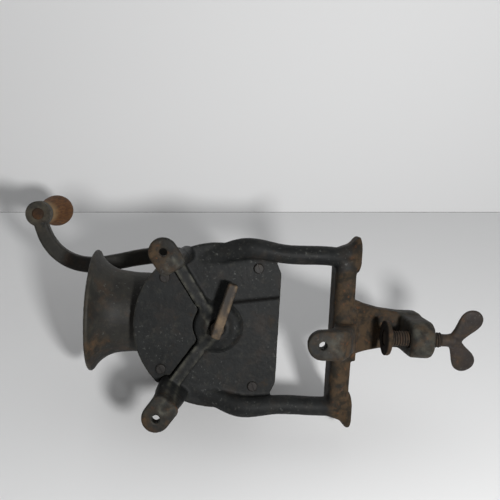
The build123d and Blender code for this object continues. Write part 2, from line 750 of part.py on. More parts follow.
# Feed worm: a sleeve with one helical flight
with BuildPart() as feed_worm:
    with BuildSketch(back(worm_y1)):
        Circle(worm_hub_r)
        Circle(shaft_r + press_gap, mode=Mode.SUBTRACT)
    extrude(amount=worm_y1 - worm_y0)
    with BuildLine():
        worm_helix = Helix(pitch=worm_pitch, height=flight_run, radius=(worm_hub_r + worm_r) / 2 - flight_lap,
                           center=(0, flight_y0, crank_z), direction=(0, 1, 0))
    worm_start = worm_helix @ 0
    worm_out = (worm_start - Vector(0, flight_y0, crank_z)).normalized()
    with BuildSketch(Plane(origin=worm_start, x_dir=worm_out, z_dir=worm_helix % 0)):
        Rectangle(worm_r - worm_hub_r + 2 * flight_lap, flight_t)
    sweep(path=worm_helix, is_frenet=True)
    with Locations((0, pin_y, crank_z)):
        Cylinder(pin_r + press_gap, pin_cut, rotation=(0, 90, 0), mode=Mode.SUBTRACT)

with BuildPart() as worm_pin:
    with Locations((0, pin_y, crank_z)):
        Cylinder(pin_r, 2 * (worm_hub_r - pin_inset), rotation=(0, 90, 0))

# Spring that pushes the rotating burr away from the fixed one
with BuildPart() as thrust_spring:
    with BuildLine():
        spring_helix = Helix(pitch=spring_pitch, height=spring_length, radius=spring_r,
                             center=(0, spring_y0, crank_z), direction=(0, 1, 0))
    with BuildSketch(Plane(origin=spring_helix @ 0, z_dir=spring_helix % 0)):
        Circle(wire_r)
    sweep(path=spring_helix, is_frenet=True)

with BuildPart() as thrust_ball:
    with Locations((0, ball_y, crank_z)):
        Sphere(ball_r)

# Adjusting screw with its lever
with BuildPart() as adjusting_screw:
    with BuildSketch(back(plate_t)):
        Circle(adjust_r)
    extrude(amount=plate_t - lever_y0 + lever_lap)
    with BuildSketch(back(lever_y0)):
        with Locations(Location((lever_mid * math.cos(math.radians(lever_angle)),
                                 lever_mid * math.sin(math.radians(lever_angle)), 0), lever_angle)):
            RectangleRounded(lever_length, lever_w, lever_corner)
    extrude(amount=lever_t)
    fillet(adjusting_screw.faces().sort_by(Axis.Y)[0].edges(), lever_edge)

# Crank arm
arm_left = []
arm_right = []
for i, (px, pz) in enumerate(arm_path):
    ax, az = arm_path[max(i - 1, 0)]
    bx, bz = arm_path[min(i + 1, len(arm_path) - 1)]
    run = math.hypot(bx - ax, bz - az)
    nx, nz = -(bz - az) / run, (bx - ax) / run
    half = arm_width[i] / 2
    arm_left.append((px + nx * half, pz + nz * half))
    arm_right.append((px - nx * half, pz - nz * half))

with BuildPart() as crank_arm:
    with BuildSketch(back(arm_y1)):
        with BuildLine():
            Spline(*arm_left)
            Line(arm_left[-1], arm_right[-1])
            Spline(*arm_right[::-1])
            Line(arm_right[0], arm_left[0])
        make_face()
    extrude(amount=arm_y1 - arm_y0)
    fillet(crank_arm.faces().sort_by(Axis.Y)[0].edges(), arm_edge)
    fillet(crank_arm.faces().sort_by(Axis.Y)[-1].edges(), arm_edge)
    with BuildSketch(back(arm_y1)):
        Circle(arm_hub_r)
        with Locations((knob_x, knob_z)):
            Circle(arm_end_r)
    extrude(amount=arm_y1 - arm_y0)
    with BuildSketch(back(arm_y1)):
        Rectangle(crank_square + 2 * square_gap, crank_square + 2 * square_gap)
        with Locations((knob_x, knob_z)):
            Circle(knob_pin_r + press_gap)
    extrude(amount=arm_y1 - arm_y0, mode=Mode.SUBTRACT)

with BuildPart() as crank_washer:
    with BuildSketch(back(arm_y1 + crank_washer_t)):
        Circle(crank_washer_r)
        Circle(stud_r + run_gap, mode=Mode.SUBTRACT)
    extrude(amount=crank_washer_t)

with BuildPart() as crank_nut:
    with BuildSketch(back(arm_y1 + crank_washer_t + nut_t)):
        RegularPolygon(nut_r, 6)
        Circle(stud_r + press_gap, mode=Mode.SUBTRACT)
    extrude(amount=nut_t)

# Knob, its pin and its washer
with BuildPart() as knob_pin:
    pin_end = knob_y0 + knob_length - pin_head_in - pin_head_t
    with BuildSketch(back(pin_end)):
        with Locations((knob_x, knob_z)):
            Circle(knob_pin_r)
    extrude(amount=pin_end - arm_y0)
    with BuildSketch(back(arm_y0)):
        with Locations((knob_x, knob_z)):
            Circle(rivet_r)
    extrude(amount=rivet_t)
    fillet(knob_pin.faces().sort_by(Axis.Y)[0].edges(), rivet_edge)
    with BuildSketch(back(pin_end + pin_head_t)):
        with Locations((knob_x, knob_z)):
            Circle(pin_head_r)
    extrude(amount=pin_head_t)

with BuildPart() as knob_washer:
    with BuildSketch(back(arm_y1 + knob_washer_t)):
        with Locations((knob_x, knob_z)):
            Circle(knob_washer_r)
            Circle(knob_pin_r + press_gap, mode=Mode.SUBTRACT)
    extrude(amount=knob_washer_t)

knob_bore = knob_pin_r + slide_gap
with BuildPart() as knob:
    with BuildSketch(Plane(origin=(knob_x, knob_y0, crank_z + knob_z), x_dir=(1, 0, 0), z_dir=(0, 0, 1))):
        with BuildLine():
            Line((knob_bore, 0), (knob_end_r, 0))
            Spline(*knob_outline)
            Polyline((knob_end_r, knob_length), (knob_recess_r, knob_length),
                     (knob_recess_r, knob_length - knob_recess_d), (knob_bore, knob_length - knob_recess_d),
                     (knob_bore, 0))
        make_face()
    revolve(axis=Axis((knob_x, 0, crank_z + knob_z), (0, 1, 0)))

# Clamp screw with its wings, and the pad on its tip
with BuildPart() as wings:
    with BuildSketch(Plane(origin=(clamp_x, clamp_y + wing_t / 2, 0), x_dir=(1, 0, 0), z_dir=(0, -1, 0))):
        for side in (1, -1):
            with BuildLine():
                Polyline(*[(side * x, z) for x, z in wing_half], close=True)
            make_face()
        with Locations((wing_x, wing_z), (-wing_x, wing_z)):
            Circle(wing_r)
    extrude(amount=wing_t)

with BuildPart() as clamp_screw:
    clamp_shoulder = clamp_pad_top - clamp_pad_t - clamp_shoulder_gap
    clamp_head_low = clamp_pad_top - clamp_recess_d + clamp_head_gap
    with BuildSketch(level(clamp_thread_low)):
        with Locations((clamp_x, clamp_y)):
            Circle(clamp_r)
    extrude(amount=clamp_shoulder - clamp_thread_low)
    with BuildSketch(level(clamp_shoulder - clamp_tip_lap)):
        with Locations((clamp_x, clamp_y)):
            Circle(clamp_tip_r)
    extrude(amount=clamp_head_low + clamp_tip_lap - clamp_shoulder + clamp_tip_lap)
    with BuildSketch(level(clamp_head_low)):
        with Locations((clamp_x, clamp_y)):
            Circle(clamp_head_r)
    extrude(amount=clamp_head_t)
    with BuildSketch(level(clamp_neck_low)):
        with Locations((clamp_x, clamp_y)):
            Circle(clamp_neck_r)
    extrude(amount=clamp_neck_top - clamp_neck_low)
    add(wings.part.rotate(Axis((clamp_x, clamp_y, 0), (0, 0, 1)), wing_turn))

with BuildPart() as clamp_pad:
    with BuildSketch(level(clamp_pad_top - clamp_pad_t)):
        with Locations((clamp_x, clamp_y)):
            Circle(clamp_pad_r)
    extrude(amount=clamp_pad_t)
    fillet(clamp_pad.faces().sort_by(Axis.Z)[0].edges(), clamp_pad_edge)
    with BuildSketch(level(clamp_pad_top - clamp_pad_t)):
        with Locations((clamp_x, clamp_y)):
            Circle(clamp_tip_r + slide_gap)
    extrude(amount=clamp_pad_t, mode=Mode.SUBTRACT)
    with BuildSketch(level(clamp_pad_top - clamp_recess_d)):
        with Locations((clamp_x, clamp_y)):
            Circle(clamp_recess_r)
    extrude(amount=clamp_recess_d, mode=Mode.SUBTRACT)

# Names and files
rear_frame.part.label = "rear_frame"
export_step(rear_frame.part, "parts/rear_frame.step")
hopper_housing.part.label = "hopper_housing"
export_step(hopper_housing.part, "parts/hopper_housing.step")
back_cover.part.label = "back_cover"
export_step(back_cover.part, "parts/back_cover.step")
front_cover.part.label = "front_cover"
export_step(front_cover.part, "parts/front_cover.step")
cover_screws.part.label = "cover_screws"
export_step(cover_screws.part, "parts/cover_screws.step")
frame_screws.part.label = "frame_screws"
export_step(frame_screws.part, "parts/frame_screws.step")
front_screws.part.label = "front_screws"
export_step(front_screws.part, "parts/front_screws.step")
burr_screws.part.label = "burr_screws"
export_step(burr_screws.part, "parts/burr_screws.step")
fixed_burr.part.label = "fixed_burr"
export_step(fixed_burr.part, "parts/fixed_burr.step")
rotating_burr.part.label = "rotating_burr"
export_step(rotating_burr.part, "parts/rotating_burr.step")
crank_shaft.part.label = "crank_shaft"
export_step(crank_shaft.part, "parts/crank_shaft.step")
feed_worm.part.label = "feed_worm"
export_step(feed_worm.part, "parts/feed_worm.step")
worm_pin.part.label = "worm_pin"
export_step(worm_pin.part, "parts/worm_pin.step")
thrust_spring.part.label = "thrust_spring"
export_step(thrust_spring.part, "parts/thrust_spring.step")
thrust_ball.part.label = "thrust_ball"
export_step(thrust_ball.part, "parts/thrust_ball.step")
adjusting_screw.part.label = "adjusting_screw"
export_step(adjusting_screw.part, "parts/adjusting_screw.step")
crank_arm.part.label = "crank_arm"
export_step(crank_arm.part, "parts/crank_arm.step")
crank_washer.part.label = "crank_washer"
export_step(crank_washer.part, "parts/crank_washer.step")
crank_nut.part.label = "crank_nut"
export_step(crank_nut.part, "parts/crank_nut.step")
knob_pin.part.label = "knob_pin"
export_step(knob_pin.part, "parts/knob_pin.step")
knob_washer.part.label = "knob_washer"
export_step(knob_washer.part, "parts/knob_washer.step")
knob.part.label = "knob"
export_step(knob.part, "parts/knob.step")
clamp_screw.part.label = "clamp_screw"
export_step(clamp_screw.part, "parts/clamp_screw.step")
clamp_pad.part.label = "clamp_pad"
export_step(clamp_pad.part, "parts/clamp_pad.step")
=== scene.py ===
# %% [markdown]
# A clamp-on coffee mill of cast iron.
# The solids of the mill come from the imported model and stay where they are. This lesson gives them the
# skin that an old sand casting has: soft edges, a grainy black coat, rust where hands and damp have been,
# and a turned wooden knob. Sizes are written in millimetres and turned to metres by MM.

# %% Load the frame
import math

import bmesh
import bpy
import numpy as np
from mathutils import Matrix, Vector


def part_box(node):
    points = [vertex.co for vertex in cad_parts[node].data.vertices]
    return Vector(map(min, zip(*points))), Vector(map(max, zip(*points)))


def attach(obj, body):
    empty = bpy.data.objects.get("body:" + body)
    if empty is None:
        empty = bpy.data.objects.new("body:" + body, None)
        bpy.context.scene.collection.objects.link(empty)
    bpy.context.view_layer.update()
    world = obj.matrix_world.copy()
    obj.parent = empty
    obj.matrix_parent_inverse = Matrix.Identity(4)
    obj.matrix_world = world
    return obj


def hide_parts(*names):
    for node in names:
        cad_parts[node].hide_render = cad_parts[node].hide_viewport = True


MM = 0.001
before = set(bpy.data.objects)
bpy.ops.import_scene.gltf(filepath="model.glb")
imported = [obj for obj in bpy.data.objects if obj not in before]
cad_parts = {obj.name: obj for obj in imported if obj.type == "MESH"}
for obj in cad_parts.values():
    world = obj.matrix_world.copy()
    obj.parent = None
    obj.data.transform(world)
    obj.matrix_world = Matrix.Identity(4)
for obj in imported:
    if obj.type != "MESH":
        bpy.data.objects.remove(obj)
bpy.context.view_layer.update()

# %% [markdown]
# The camera. A photograph's view can be rebuilt from a few known points of the object: their places in
# the picture give where the camera stood and how it was turned. The focal length is kept in pixels of the
# picture, because that is what the fit gives, and turned to millimetres of a full-frame sensor.

# %% Camera
IMAGE_PX = 500
FOCAL_PX = 700
SENSOR_MM = 36.0
CAMERA_AT = np.array([109.1, -535.8, 119.2]) * MM
LOOK_ALONG = np.array([-0.0900, 0.9939, -0.0641])
PICTURE_RIGHT = np.array([0.0547, -0.0593, -0.9967])


def unit(vector):
    """The same direction with a length of one."""
    return vector / np.linalg.norm(vector)


look = unit(LOOK_ALONG)
right = unit(PICTURE_RIGHT - look * (PICTURE_RIGHT @ look))
up = np.cross(right, look)
camera = bpy.data.objects.new("camera", bpy.data.cameras.new("camera"))
camera.data.sensor_width = SENSOR_MM
camera.data.lens = FOCAL_PX / IMAGE_PX * SENSOR_MM
camera_axes = np.stack([right, up, -look], axis=1)
camera.matrix_world = Matrix.Translation(CAMERA_AT) @ Matrix(camera_axes).to_4x4()
bpy.context.scene.collection.objects.link(camera)
bpy.context.scene.camera = camera
print("lens in mm:", round(camera.data.lens, 1))

# %% [markdown]
# Colours and shader nodes. Painters and web pages give colours as sRGB hex values, while a shader works
# with linear light, so one function turns the first into the second. Another adds one shader node with
# its settings and its links, which keeps every material below to a list of what it is made of.

# %% Helpers for materials


def linear(hex_colour):
    """An sRGB hex colour as linear red, green, blue and alpha: the sRGB curve undone for each channel."""
    channels = np.array([int(hex_colour[i:i + 2], 16) for i in (1, 3, 5)]) / 255
    light = np.where(channels <= 0.04045, channels / 12.92, ((channels + 0.055) / 1.055) ** 2.4)
    return (*light, 1.0)


def add(tree, kind, inputs=None, **settings):
    """One node: settings are its own properties, inputs are values or other sockets, by name or place."""
    node = tree.nodes.new("ShaderNode" + kind)
    for key, value in settings.items():
        setattr(node, key, value)
    for key, value in (inputs or {}).items():
        if isinstance(value, bpy.types.NodeSocket):
            tree.links.new(value, node.inputs[key])
        else:
            node.inputs[key].default_value = value
    return node


def new_material(name):
    """An empty material with its output node, as the material, its tree and the output."""
    material = bpy.data.materials.new(name)
    material.use_nodes = True
    material.node_tree.nodes.clear()
    return material, material.node_tree, add(material.node_tree, "OutputMaterial")


# %% [markdown]
# The stage. The mill lies on a pale board in front of a pale wall, and the camera looks down on both. The
# board is put where the mill's lowest point touches it, and the wall where its foot shows in the picture: a
# ray through that row of the picture is followed until it meets the board.

# %% Where board and wall stand
LOOK_DOWN = math.radians(34)
SEAM_ROW_PX = 212


def points_of(mesh):
    """The points of a mesh as an array, one row each."""
    flat = np.empty(len(mesh.vertices) * 3)
    mesh.vertices.foreach_get("co", flat)
    return flat.reshape(-1, 3)


board_up = math.cos(LOOK_DOWN) * up - math.sin(LOOK_DOWN) * look
wall_out = -math.sin(LOOK_DOWN) * up - math.cos(LOOK_DOWN) * look
board_level = min((points_of(node.data) @ board_up).min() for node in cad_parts.values())
camera_height = CAMERA_AT @ board_up - board_level
seam_ray = look + up * (IMAGE_PX / 2 - SEAM_ROW_PX) / FOCAL_PX
seam_at = CAMERA_AT - seam_ray * camera_height / (seam_ray @ board_up)
print("seam in front of the camera, mm:", round(float((seam_at - CAMERA_AT) @ look) / MM))

# %% [markdown]
# Board and wall are single sheets, with a narrow dark strip in the crack where they meet, which is painted
# shade. A sheet shows only its front, and only to rays that show a background: those from the camera, and
# those that gloss or glass sends on. Other light passes it, so the sky lights the mill's far side too, and a
# view from any other side still shows the mill.

# %% Board and wall
STAGE_HALF = 1600 * MM
STAGE_DEPTH = 1500 * MM
SEAM_CRACK = 1.0 * MM


def background_ray(tree):
    """One for rays that show a background: those from the camera, and those that gloss or glass sends on."""
    path = add(tree, "LightPath").outputs
    shows = path["Is Camera Ray"]
    for kind in ("Is Glossy Ray", "Is Transmission Ray"):
        shows = add(tree, "Math", {0: shows, 1: path[kind]}, operation="MAXIMUM").outputs[0]
    return shows


def pale_sheet(name, hex_colour):
    """Matt paint with a wide soft gloss, on a sheet that shows only its front and only as a background."""
    material, tree, output = new_material(name)
    paint = add(tree, "BsdfPrincipled", {"Base Color": linear(hex_colour), "Roughness": 0.7, "IOR": 1.4})
    clear = add(tree, "BsdfTransparent")
    behind = add(tree, "NewGeometry").outputs["Backfacing"]
    shown = add(tree, "Math", {0: background_ray(tree), 1: behind}, operation="SUBTRACT", use_clamp=True)
    mixed = add(tree, "MixShader", {0: shown.outputs[0], 1: clear.outputs[0], 2: paint.outputs[0]})
    tree.links.new(mixed.outputs[0], output.inputs["Surface"])
    return material


def stage_sheet(name, start, across, along, material):
    """A four-cornered sheet from start, with its face towards across x along."""
    mesh = bpy.data.meshes.new(name)
    corners = [start, start + across, start + across + along, start + along]
    mesh.from_pydata([tuple(c) for c in corners], [], [(0, 1, 2, 3)])
    mesh.materials.append(material)
    sheet = bpy.data.objects.new(name, mesh)
    bpy.context.scene.collection.objects.link(sheet)


left_end = seam_at - right * STAGE_HALF
whole_width = right * 2 * STAGE_HALF
board_start = left_end + wall_out * (SEAM_CRACK + STAGE_DEPTH)
crack_start = left_end + wall_out * SEAM_CRACK
stage_sheet("board", board_start, whole_width, -wall_out * STAGE_DEPTH, pale_sheet("matt_board", "#dedede"))
# The crack's dark strip is painted shade.
stage_sheet("crack", crack_start, whole_width, -wall_out * SEAM_CRACK, pale_sheet("painted_shade_in_crack", "#6a6a66"))
stage_sheet("wall", left_end, whole_width, board_up * STAGE_DEPTH, pale_sheet("matt_wall", "#e8e8e8"))
print("stage width in mm:", round(2 * STAGE_HALF / MM))

# %% [markdown]
# Light. The shadows fall to the left and a little up, and their edges are fairly crisp, so one small lamp
# stands right of the camera. A sky fills the rest. It is dimmer on the camera's side, where the room was
# dark, so shadows on the iron stay deep while the pale board still gets light from above and beside. Where
# a ray shows the background, it meets an even pale sky instead.

# %% Lamp
LAMP_AIM = np.array([0, 30, 90]) * MM
LAMP_RIGHT, LAMP_UP = 0.315, -0.06
LAMP_AWAY = 800 * MM
LAMP_SIZE = 90 * MM
LAMP_WATTS = 6.6

aim = -unit(right * LAMP_RIGHT + up * LAMP_UP - look)
lamp = bpy.data.objects.new("lamp", bpy.data.lights.new("lamp", "AREA"))
lamp.data.shape = "DISK"
lamp.data.size = LAMP_SIZE
lamp.data.energy = LAMP_WATTS
lamp_side = unit(np.cross(aim, board_up))
lamp_axes = np.stack([lamp_side, np.cross(lamp_side, aim), -aim], axis=1)
lamp_at = LAMP_AIM - aim * LAMP_AWAY
lamp.matrix_world = Matrix.Translation(lamp_at) @ Matrix(lamp_axes).to_4x4()
bpy.context.scene.collection.objects.link(lamp)
print("lamp in mm:", [round(x / MM) for x in lamp_at])

# %% Sky
SKY_STRENGTH, SKY_BEHIND_CAMERA = 0.95, 0.05
SKY_DIM_FROM, SKY_DIM_TO = 0.05, 0.65

sky = bpy.data.worlds.new("sky")
sky.use_nodes = True
sky_tree = sky.node_tree
sky_tree.nodes.clear()
sky_from = add(sky_tree, "TexCoord").outputs["Generated"]
camera_side = add(sky_tree, "VectorMath", {0: sky_from, 1: tuple(-look)}, operation="DOT_PRODUCT")
sky_level = add(sky_tree, "MapRange", {"Value": camera_side.outputs["Value"],
                                       "From Min": SKY_DIM_FROM, "From Max": SKY_DIM_TO,
                                       "To Min": SKY_STRENGTH, "To Max": SKY_BEHIND_CAMERA})
sky_light = add(sky_tree, "Background", {"Color": linear("#f4f5f6"), "Strength": sky_level.outputs[0]})
sky_seen = add(sky_tree, "Background", {"Color": linear("#d2d2d2"), "Strength": 1.0})
sky_both = add(sky_tree, "MixShader",
               {0: background_ray(sky_tree), 1: sky_light.outputs[0], 2: sky_seen.outputs[0]})
add(sky_tree, "OutputWorld", {"Surface": sky_both.outputs[0]})
bpy.context.scene.world = sky
bpy.context.scene.view_settings.view_transform = "Standard"
print("sky strength:", SKY_STRENGTH, "and behind the camera:", SKY_BEHIND_CAMERA)

# %% [markdown]
# Black japan on cast iron. Japan is a baked asphalt varnish. After a century it is charcoal grey, with a
# mottle from the oil in the kitchen, pale scuffs, brown where it has thinned, and rust where it has gone.
# Where the rust lies, where edges are rubbed and where dirt sits is different on each piece, so each mesh
# carries that as numbers on its points, for rust, rubbed edges and dirt, and noise breaks the borders up. The
# numbers for rubbed edges also lay painted highlights in places, and those for dirt also lay painted shade in
# hollows and creases. The colour is a stack of thin layers, each laid over the one below by its own share.

# %% Patterns of the coat
# Each pattern has the size of its features in mm, the noise's detail and roughness, and a shift in metres.
# Moulding sand leaves a finer grain than the one here, which is as coarse as it needs to be to show.
COAT_PATTERNS = {
    "mottle": (26, 6.0, 0.62, 0.0),
    "thin": (15, 5.0, 0.6, 0.31),
    "bare": (5, 5.0, 0.65, 0.61),
    "scuff": (2.4, 3.0, 0.6, 0.17),
    "scuffed_area": (30, 2.0, 0.5, 0.53),
    "rub": (7, 4.0, 0.6, 0.71),
    "rust": (8, 6.0, 0.65, 0.11),
    "rust_brown": (7, 5.0, 0.6, 0.87),
    "rust_orange": (4, 4.0, 0.6, 0.29),
    "sand": (0.9, 3.0, 0.6, 0.0),
    "pits": (3.5, 4.0, 0.6, 0.43),
}
# The two levels of its noise between which a pattern comes in.
COMES_IN = {
    "mottle": (0.38, 0.66),
    "thin": (0.5, 0.72),
    "bare": (0.5, 0.8),
    "scuff": (0.6, 0.72),
    "scuffed_area": (0.42, 0.62),
    "rub": (0.3, 0.7),
    "rust": (0.62, 1.12),
    "rust_brown": (0.36, 0.62),
    "rust_orange": (0.56, 0.74),
}
# The black layer darkens dirt, and paints shade in hollows and creases.
SCUFF_GREY, GRIME_AND_SHADE_BLACK = "#5f605d", "#0d0c0b"
RUST_DARK, RUST_BROWN, RUST_ORANGE = "#24201a", "#423527", "#613f27"
BARE_SHARE, RUST_ORANGE_SHARE = 0.3, 0.7
RUST_ROUGH, GRIME_ROUGH = 0.82, 1.0
SAND_DEPTH, PIT_DEPTH = 0.12 * MM, 0.5 * MM
# The places of a Mix node's sockets, which differ between colours and plain numbers.
MIX_SHARE = 0
COLOUR_BELOW, COLOUR_ABOVE, COLOUR_MIXED = 6, 7, 2
NUMBER_BELOW, NUMBER_ABOVE, NUMBER_MIXED = 2, 3, 0
print("patterns of the coat:", len(COAT_PATTERNS))

# %% Worn iron


def per_metre(size_mm):
    """The scale of a pattern whose features are size_mm across, on coordinates in metres."""
    return 1 / (size_mm * MM)


def layered(tree, below, layers):
    """Colours laid over each other: each layer, a hex colour or a socket, covers the last by its share."""
    for paint, share in layers:
        top = linear(paint) if isinstance(paint, str) else paint
        mixed = add(tree, "Mix", {MIX_SHARE: share, COLOUR_BELOW: below, COLOUR_ABOVE: top}, data_type="RGBA")
        below = mixed.outputs[COLOUR_MIXED]
    return below


def worn_iron(name, coat, coat_light, thin, bare, thin_share, scuff_share, gloss=0.5, shine=0.12):
    """Old coated iron: a two-tone mottled coat, thin brown patches, scuffs, rubbed edges and painted
    highlights, rust, and dirt and painted shade.
    """
    material, tree, output = new_material(name)
    place = add(tree, "TexCoord").outputs["Object"]
    # Marks kept on each point: rust, rubbed edges that in places carry painted highlights, and dirt that also
    # carries painted shade.
    marks = ("rust", "edge", "grime_and_shade")
    mark = {key: add(tree, "Attribute", attribute_name=key).outputs["Fac"] for key in marks}

    noise = {}
    for key, (size_mm, detail, rough, shift) in COAT_PATTERNS.items():
        moved = add(tree, "Mapping", {"Vector": place, "Location": (shift, shift, shift)}).outputs[0]
        noise[key] = add(tree, "TexNoise", {"Vector": moved, "Scale": per_metre(size_mm), "Detail": detail,
                                            "Roughness": rough}).outputs["Fac"]
    noise["rust"] = add(tree, "Math", {0: mark["rust"], 1: noise["rust"]}, operation="ADD").outputs[0]

    most = {"thin": thin_share, "bare": BARE_SHARE, "scuffed_area": scuff_share,
            "rust_orange": RUST_ORANGE_SHARE}
    share = {}
    for key, (low, high) in COMES_IN.items():
        share[key] = add(tree, "MapRange", {"Value": noise[key], "From Min": low, "From Max": high,
                                            "To Max": most.get(key, 1.0)},
                         interpolation_type="SMOOTHSTEP").outputs[0]
    # Rubbing follows the mark of rubbed edges, which in places is a painted highlight.
    for key, where in (("scuff", share["scuffed_area"]), ("rub", mark["edge"])):
        both = add(tree, "Math", {0: share[key], 1: where}, operation="MULTIPLY", use_clamp=True)
        share[key] = both.outputs[0]

    rust_layers = ((RUST_BROWN, share["rust_brown"]), (RUST_ORANGE, share["rust_orange"]))
    rust = layered(tree, linear(RUST_DARK), rust_layers)
    # The rubbed layer also lays painted highlights, and the black layer also lays painted shade.
    colour = layered(tree, linear(coat), (
        (coat_light, share["mottle"]),
        (thin, share["thin"]),
        (bare, share["bare"]),
        (SCUFF_GREY, share["scuff"]),
        (bare, share["rub"]),
        (rust, share["rust"]),
        (GRIME_AND_SHADE_BLACK, mark["grime_and_shade"]),
    ))

    smoothest, roughest = 0.75 - 0.5 * gloss, 0.95 - 0.6 * gloss
    rough = add(tree, "MapRange", {"Value": noise["mottle"], "From Min": 0.3, "From Max": 0.7,
                                   "To Min": smoothest, "To Max": roughest}).outputs[0]
    for dull, where in ((RUST_ROUGH, share["rust"]), (GRIME_ROUGH, mark["grime_and_shade"])):
        levels = {MIX_SHARE: where, NUMBER_BELOW: rough, NUMBER_ABOVE: dull}
        rough = add(tree, "Mix", levels, data_type="FLOAT").outputs[NUMBER_MIXED]
    sand = add(tree, "Bump", {"Height": noise["sand"], "Strength": 0.35, "Distance": SAND_DEPTH})
    pits = add(tree, "Bump", {"Height": noise["pits"], "Strength": 0.55, "Distance": PIT_DEPTH,
                              "Normal": sand.outputs[0]})
    iron = add(tree, "BsdfPrincipled", {"Base Color": colour, "Roughness": rough, "Specular IOR Level": shine,
                                        "Normal": pits.outputs[0]})
    tree.links.new(iron.outputs[0], output.inputs["Surface"])
    return material


# %% [markdown]
# Each finish is the same stack with its own four colours, which are the coat, its lighter tone, the thinned
# coat and bare metal, and its own shares of thin coat and scuffs. The frame's japan is nearly whole, the
# hopper's is thin, what hands turn is rubbed brown, the rivet and the pad are rusted, and the burrs never
# had a coat.

# %% Iron finishes
japanned_iron = worn_iron("black_japan_on_cast_iron", "#131414", "#1d1e1e", "#28231f", "#484740",
                          thin_share=0.6, scuff_share=0.45)
thin_japan = worn_iron("thin_japan_on_hopper", "#201f1d", "#2c2b27", "#372d24", "#484338",
                       thin_share=0.75, scuff_share=0.5, shine=0.17)
handled_iron = worn_iron("hand_worn_iron", "#211d1b", "#2c2725", "#352b25", "#51483d",
                         thin_share=0.7, scuff_share=0.4, shine=0.2)
dark_steel = worn_iron("aged_screw_steel", "#171513", "#211e1c", "#2a2119", "#3d3833",
                       thin_share=0.8, scuff_share=0.3, shine=0.2)
rusty_steel = worn_iron("rusted_rivet_steel", "#2c2119", "#3a2a1e", "#4c3421", "#57473a",
                        thin_share=0.9, scuff_share=0.2, gloss=0.25)
rubbed_iron = worn_iron("rubbed_lever_iron", "#231f1b", "#302a24", "#45372a", "#635340",
                        thin_share=0.7, scuff_share=0.3, gloss=0.45, shine=0.2)
bare_iron = worn_iron("bare_grey_iron", "#3d3b39", "#4d4b48", "#493e34", "#7b7873",
                      thin_share=0.5, scuff_share=0.5, gloss=0.55, shine=0.5)
iron_finishes = (japanned_iron, thin_japan, handled_iron, dark_steel, rusty_steel, rubbed_iron, bare_iron)
print("iron finishes:", [finish.name for finish in iron_finishes])

# %% [markdown]
# Turned steel. The shaft, the spring, the ball and the pin are bright metal, so they reflect instead of
# having a colour of their own. A little noise in the roughness keeps them from looking like chrome.

# %% Bright steel
STEEL_WANDER_MM = 6


def turned_steel(name):
    """Turned steel: metallic, with a roughness that wanders over a few millimetres."""
    material, tree, output = new_material(name)
    place = add(tree, "TexCoord").outputs["Object"]
    wander = add(tree, "TexNoise", {"Vector": place, "Scale": per_metre(STEEL_WANDER_MM), "Detail": 4.0})
    rough = add(tree, "MapRange", {"Value": wander.outputs["Fac"], "To Min": 0.25, "To Max": 0.5}).outputs[0]
    grey = linear("#8d8a85")
    steel = add(tree, "BsdfPrincipled", {"Base Color": grey, "Metallic": 1.0, "Roughness": rough})
    tree.links.new(steel.outputs[0], output.inputs["Surface"])
    return material


bright_steel = turned_steel("turned_steel")
print("steel finish:", bright_steel.name)

# %% [markdown]
# Turned hardwood. The knob was turned on a lathe from beech or birch and varnished. The grain runs along the
# knob's axis, which is Y here, so the noise is squeezed across the axis and drawn out along it. The varnish
# has worn to pale tan at the collar, and the turned grooves are darkened with dirt and painted shade.

# %% Knob wood
GRAIN_ACROSS_MM, GRAIN_ALONG_MM, BLOTCH_MM = 1.4, 26.0, 9
PORE_DEPTH = 0.2 * MM


def turned_wood(name):
    """Varnished hardwood: long streaks of two browns, a worn pale collar and dark grooves."""
    material, tree, output = new_material(name)
    place = add(tree, "TexCoord").outputs["Object"]
    across, along = per_metre(GRAIN_ACROSS_MM), per_metre(GRAIN_ALONG_MM)
    drawn = add(tree, "Mapping", {"Vector": place, "Scale": (across, along, across)}).outputs[0]
    streak = add(tree, "TexNoise", {"Vector": drawn, "Scale": 1.0, "Detail": 5.0}).outputs["Fac"]
    light = add(tree, "MapRange", {"Value": streak, "From Min": 0.32, "From Max": 0.68}).outputs[0]
    blotch = add(tree, "TexNoise", {"Vector": place, "Scale": per_metre(BLOTCH_MM), "Detail": 4.0})
    faded = add(tree, "MapRange", {"Value": blotch.outputs["Fac"], "From Min": 0.45, "From Max": 0.7,
                                   "To Max": 0.5}).outputs[0]
    worn = add(tree, "Attribute", attribute_name="wear").outputs["Fac"]
    # The grooves are darkened with dirt and painted shade.
    groove_dirt_and_shade = add(tree, "Attribute", attribute_name="grime_and_shade").outputs["Fac"]
    layers = (("#674526", light), ("#422a18", faded), ("#7c6749", worn), ("#20150c", groove_dirt_and_shade))
    brown = layered(tree, linear("#3a2413"), layers)
    rough = add(tree, "MapRange", {"Value": streak, "To Min": 0.55, "To Max": 0.8}).outputs[0]
    pores = add(tree, "Bump", {"Height": streak, "Strength": 0.3, "Distance": PORE_DEPTH})
    wood = add(tree, "BsdfPrincipled", {"Base Color": brown, "Roughness": rough, "Normal": pores.outputs[0],
                                        "Specular IOR Level": 0.06})
    tree.links.new(wood.outputs[0], output.inputs["Surface"])
    return material


knob_wood = turned_wood("turned_hardwood")
print("wood finish:", knob_wood.name)

# %% [markdown]
# Points as arrays. Blender keeps a mesh's points one by one, but reads and writes them all at once into an
# array, where numpy can move a hundred thousand of them in one line. A number for each point, such as how
# much rust is there, is kept in the same way under a name.

# %% Points and numbers of a mesh


def normals_of(mesh):
    """The point normals of a mesh as an array, one row each."""
    flat = np.empty(len(mesh.vertices) * 3)
    mesh.vertex_normals.foreach_get("vector", flat)
    return flat.reshape(-1, 3)


def put_points(mesh, points):
    """Moves the points of a mesh to the rows of an array."""
    mesh.vertices.foreach_set("co", points.astype(np.float32).ravel())
    mesh.update()


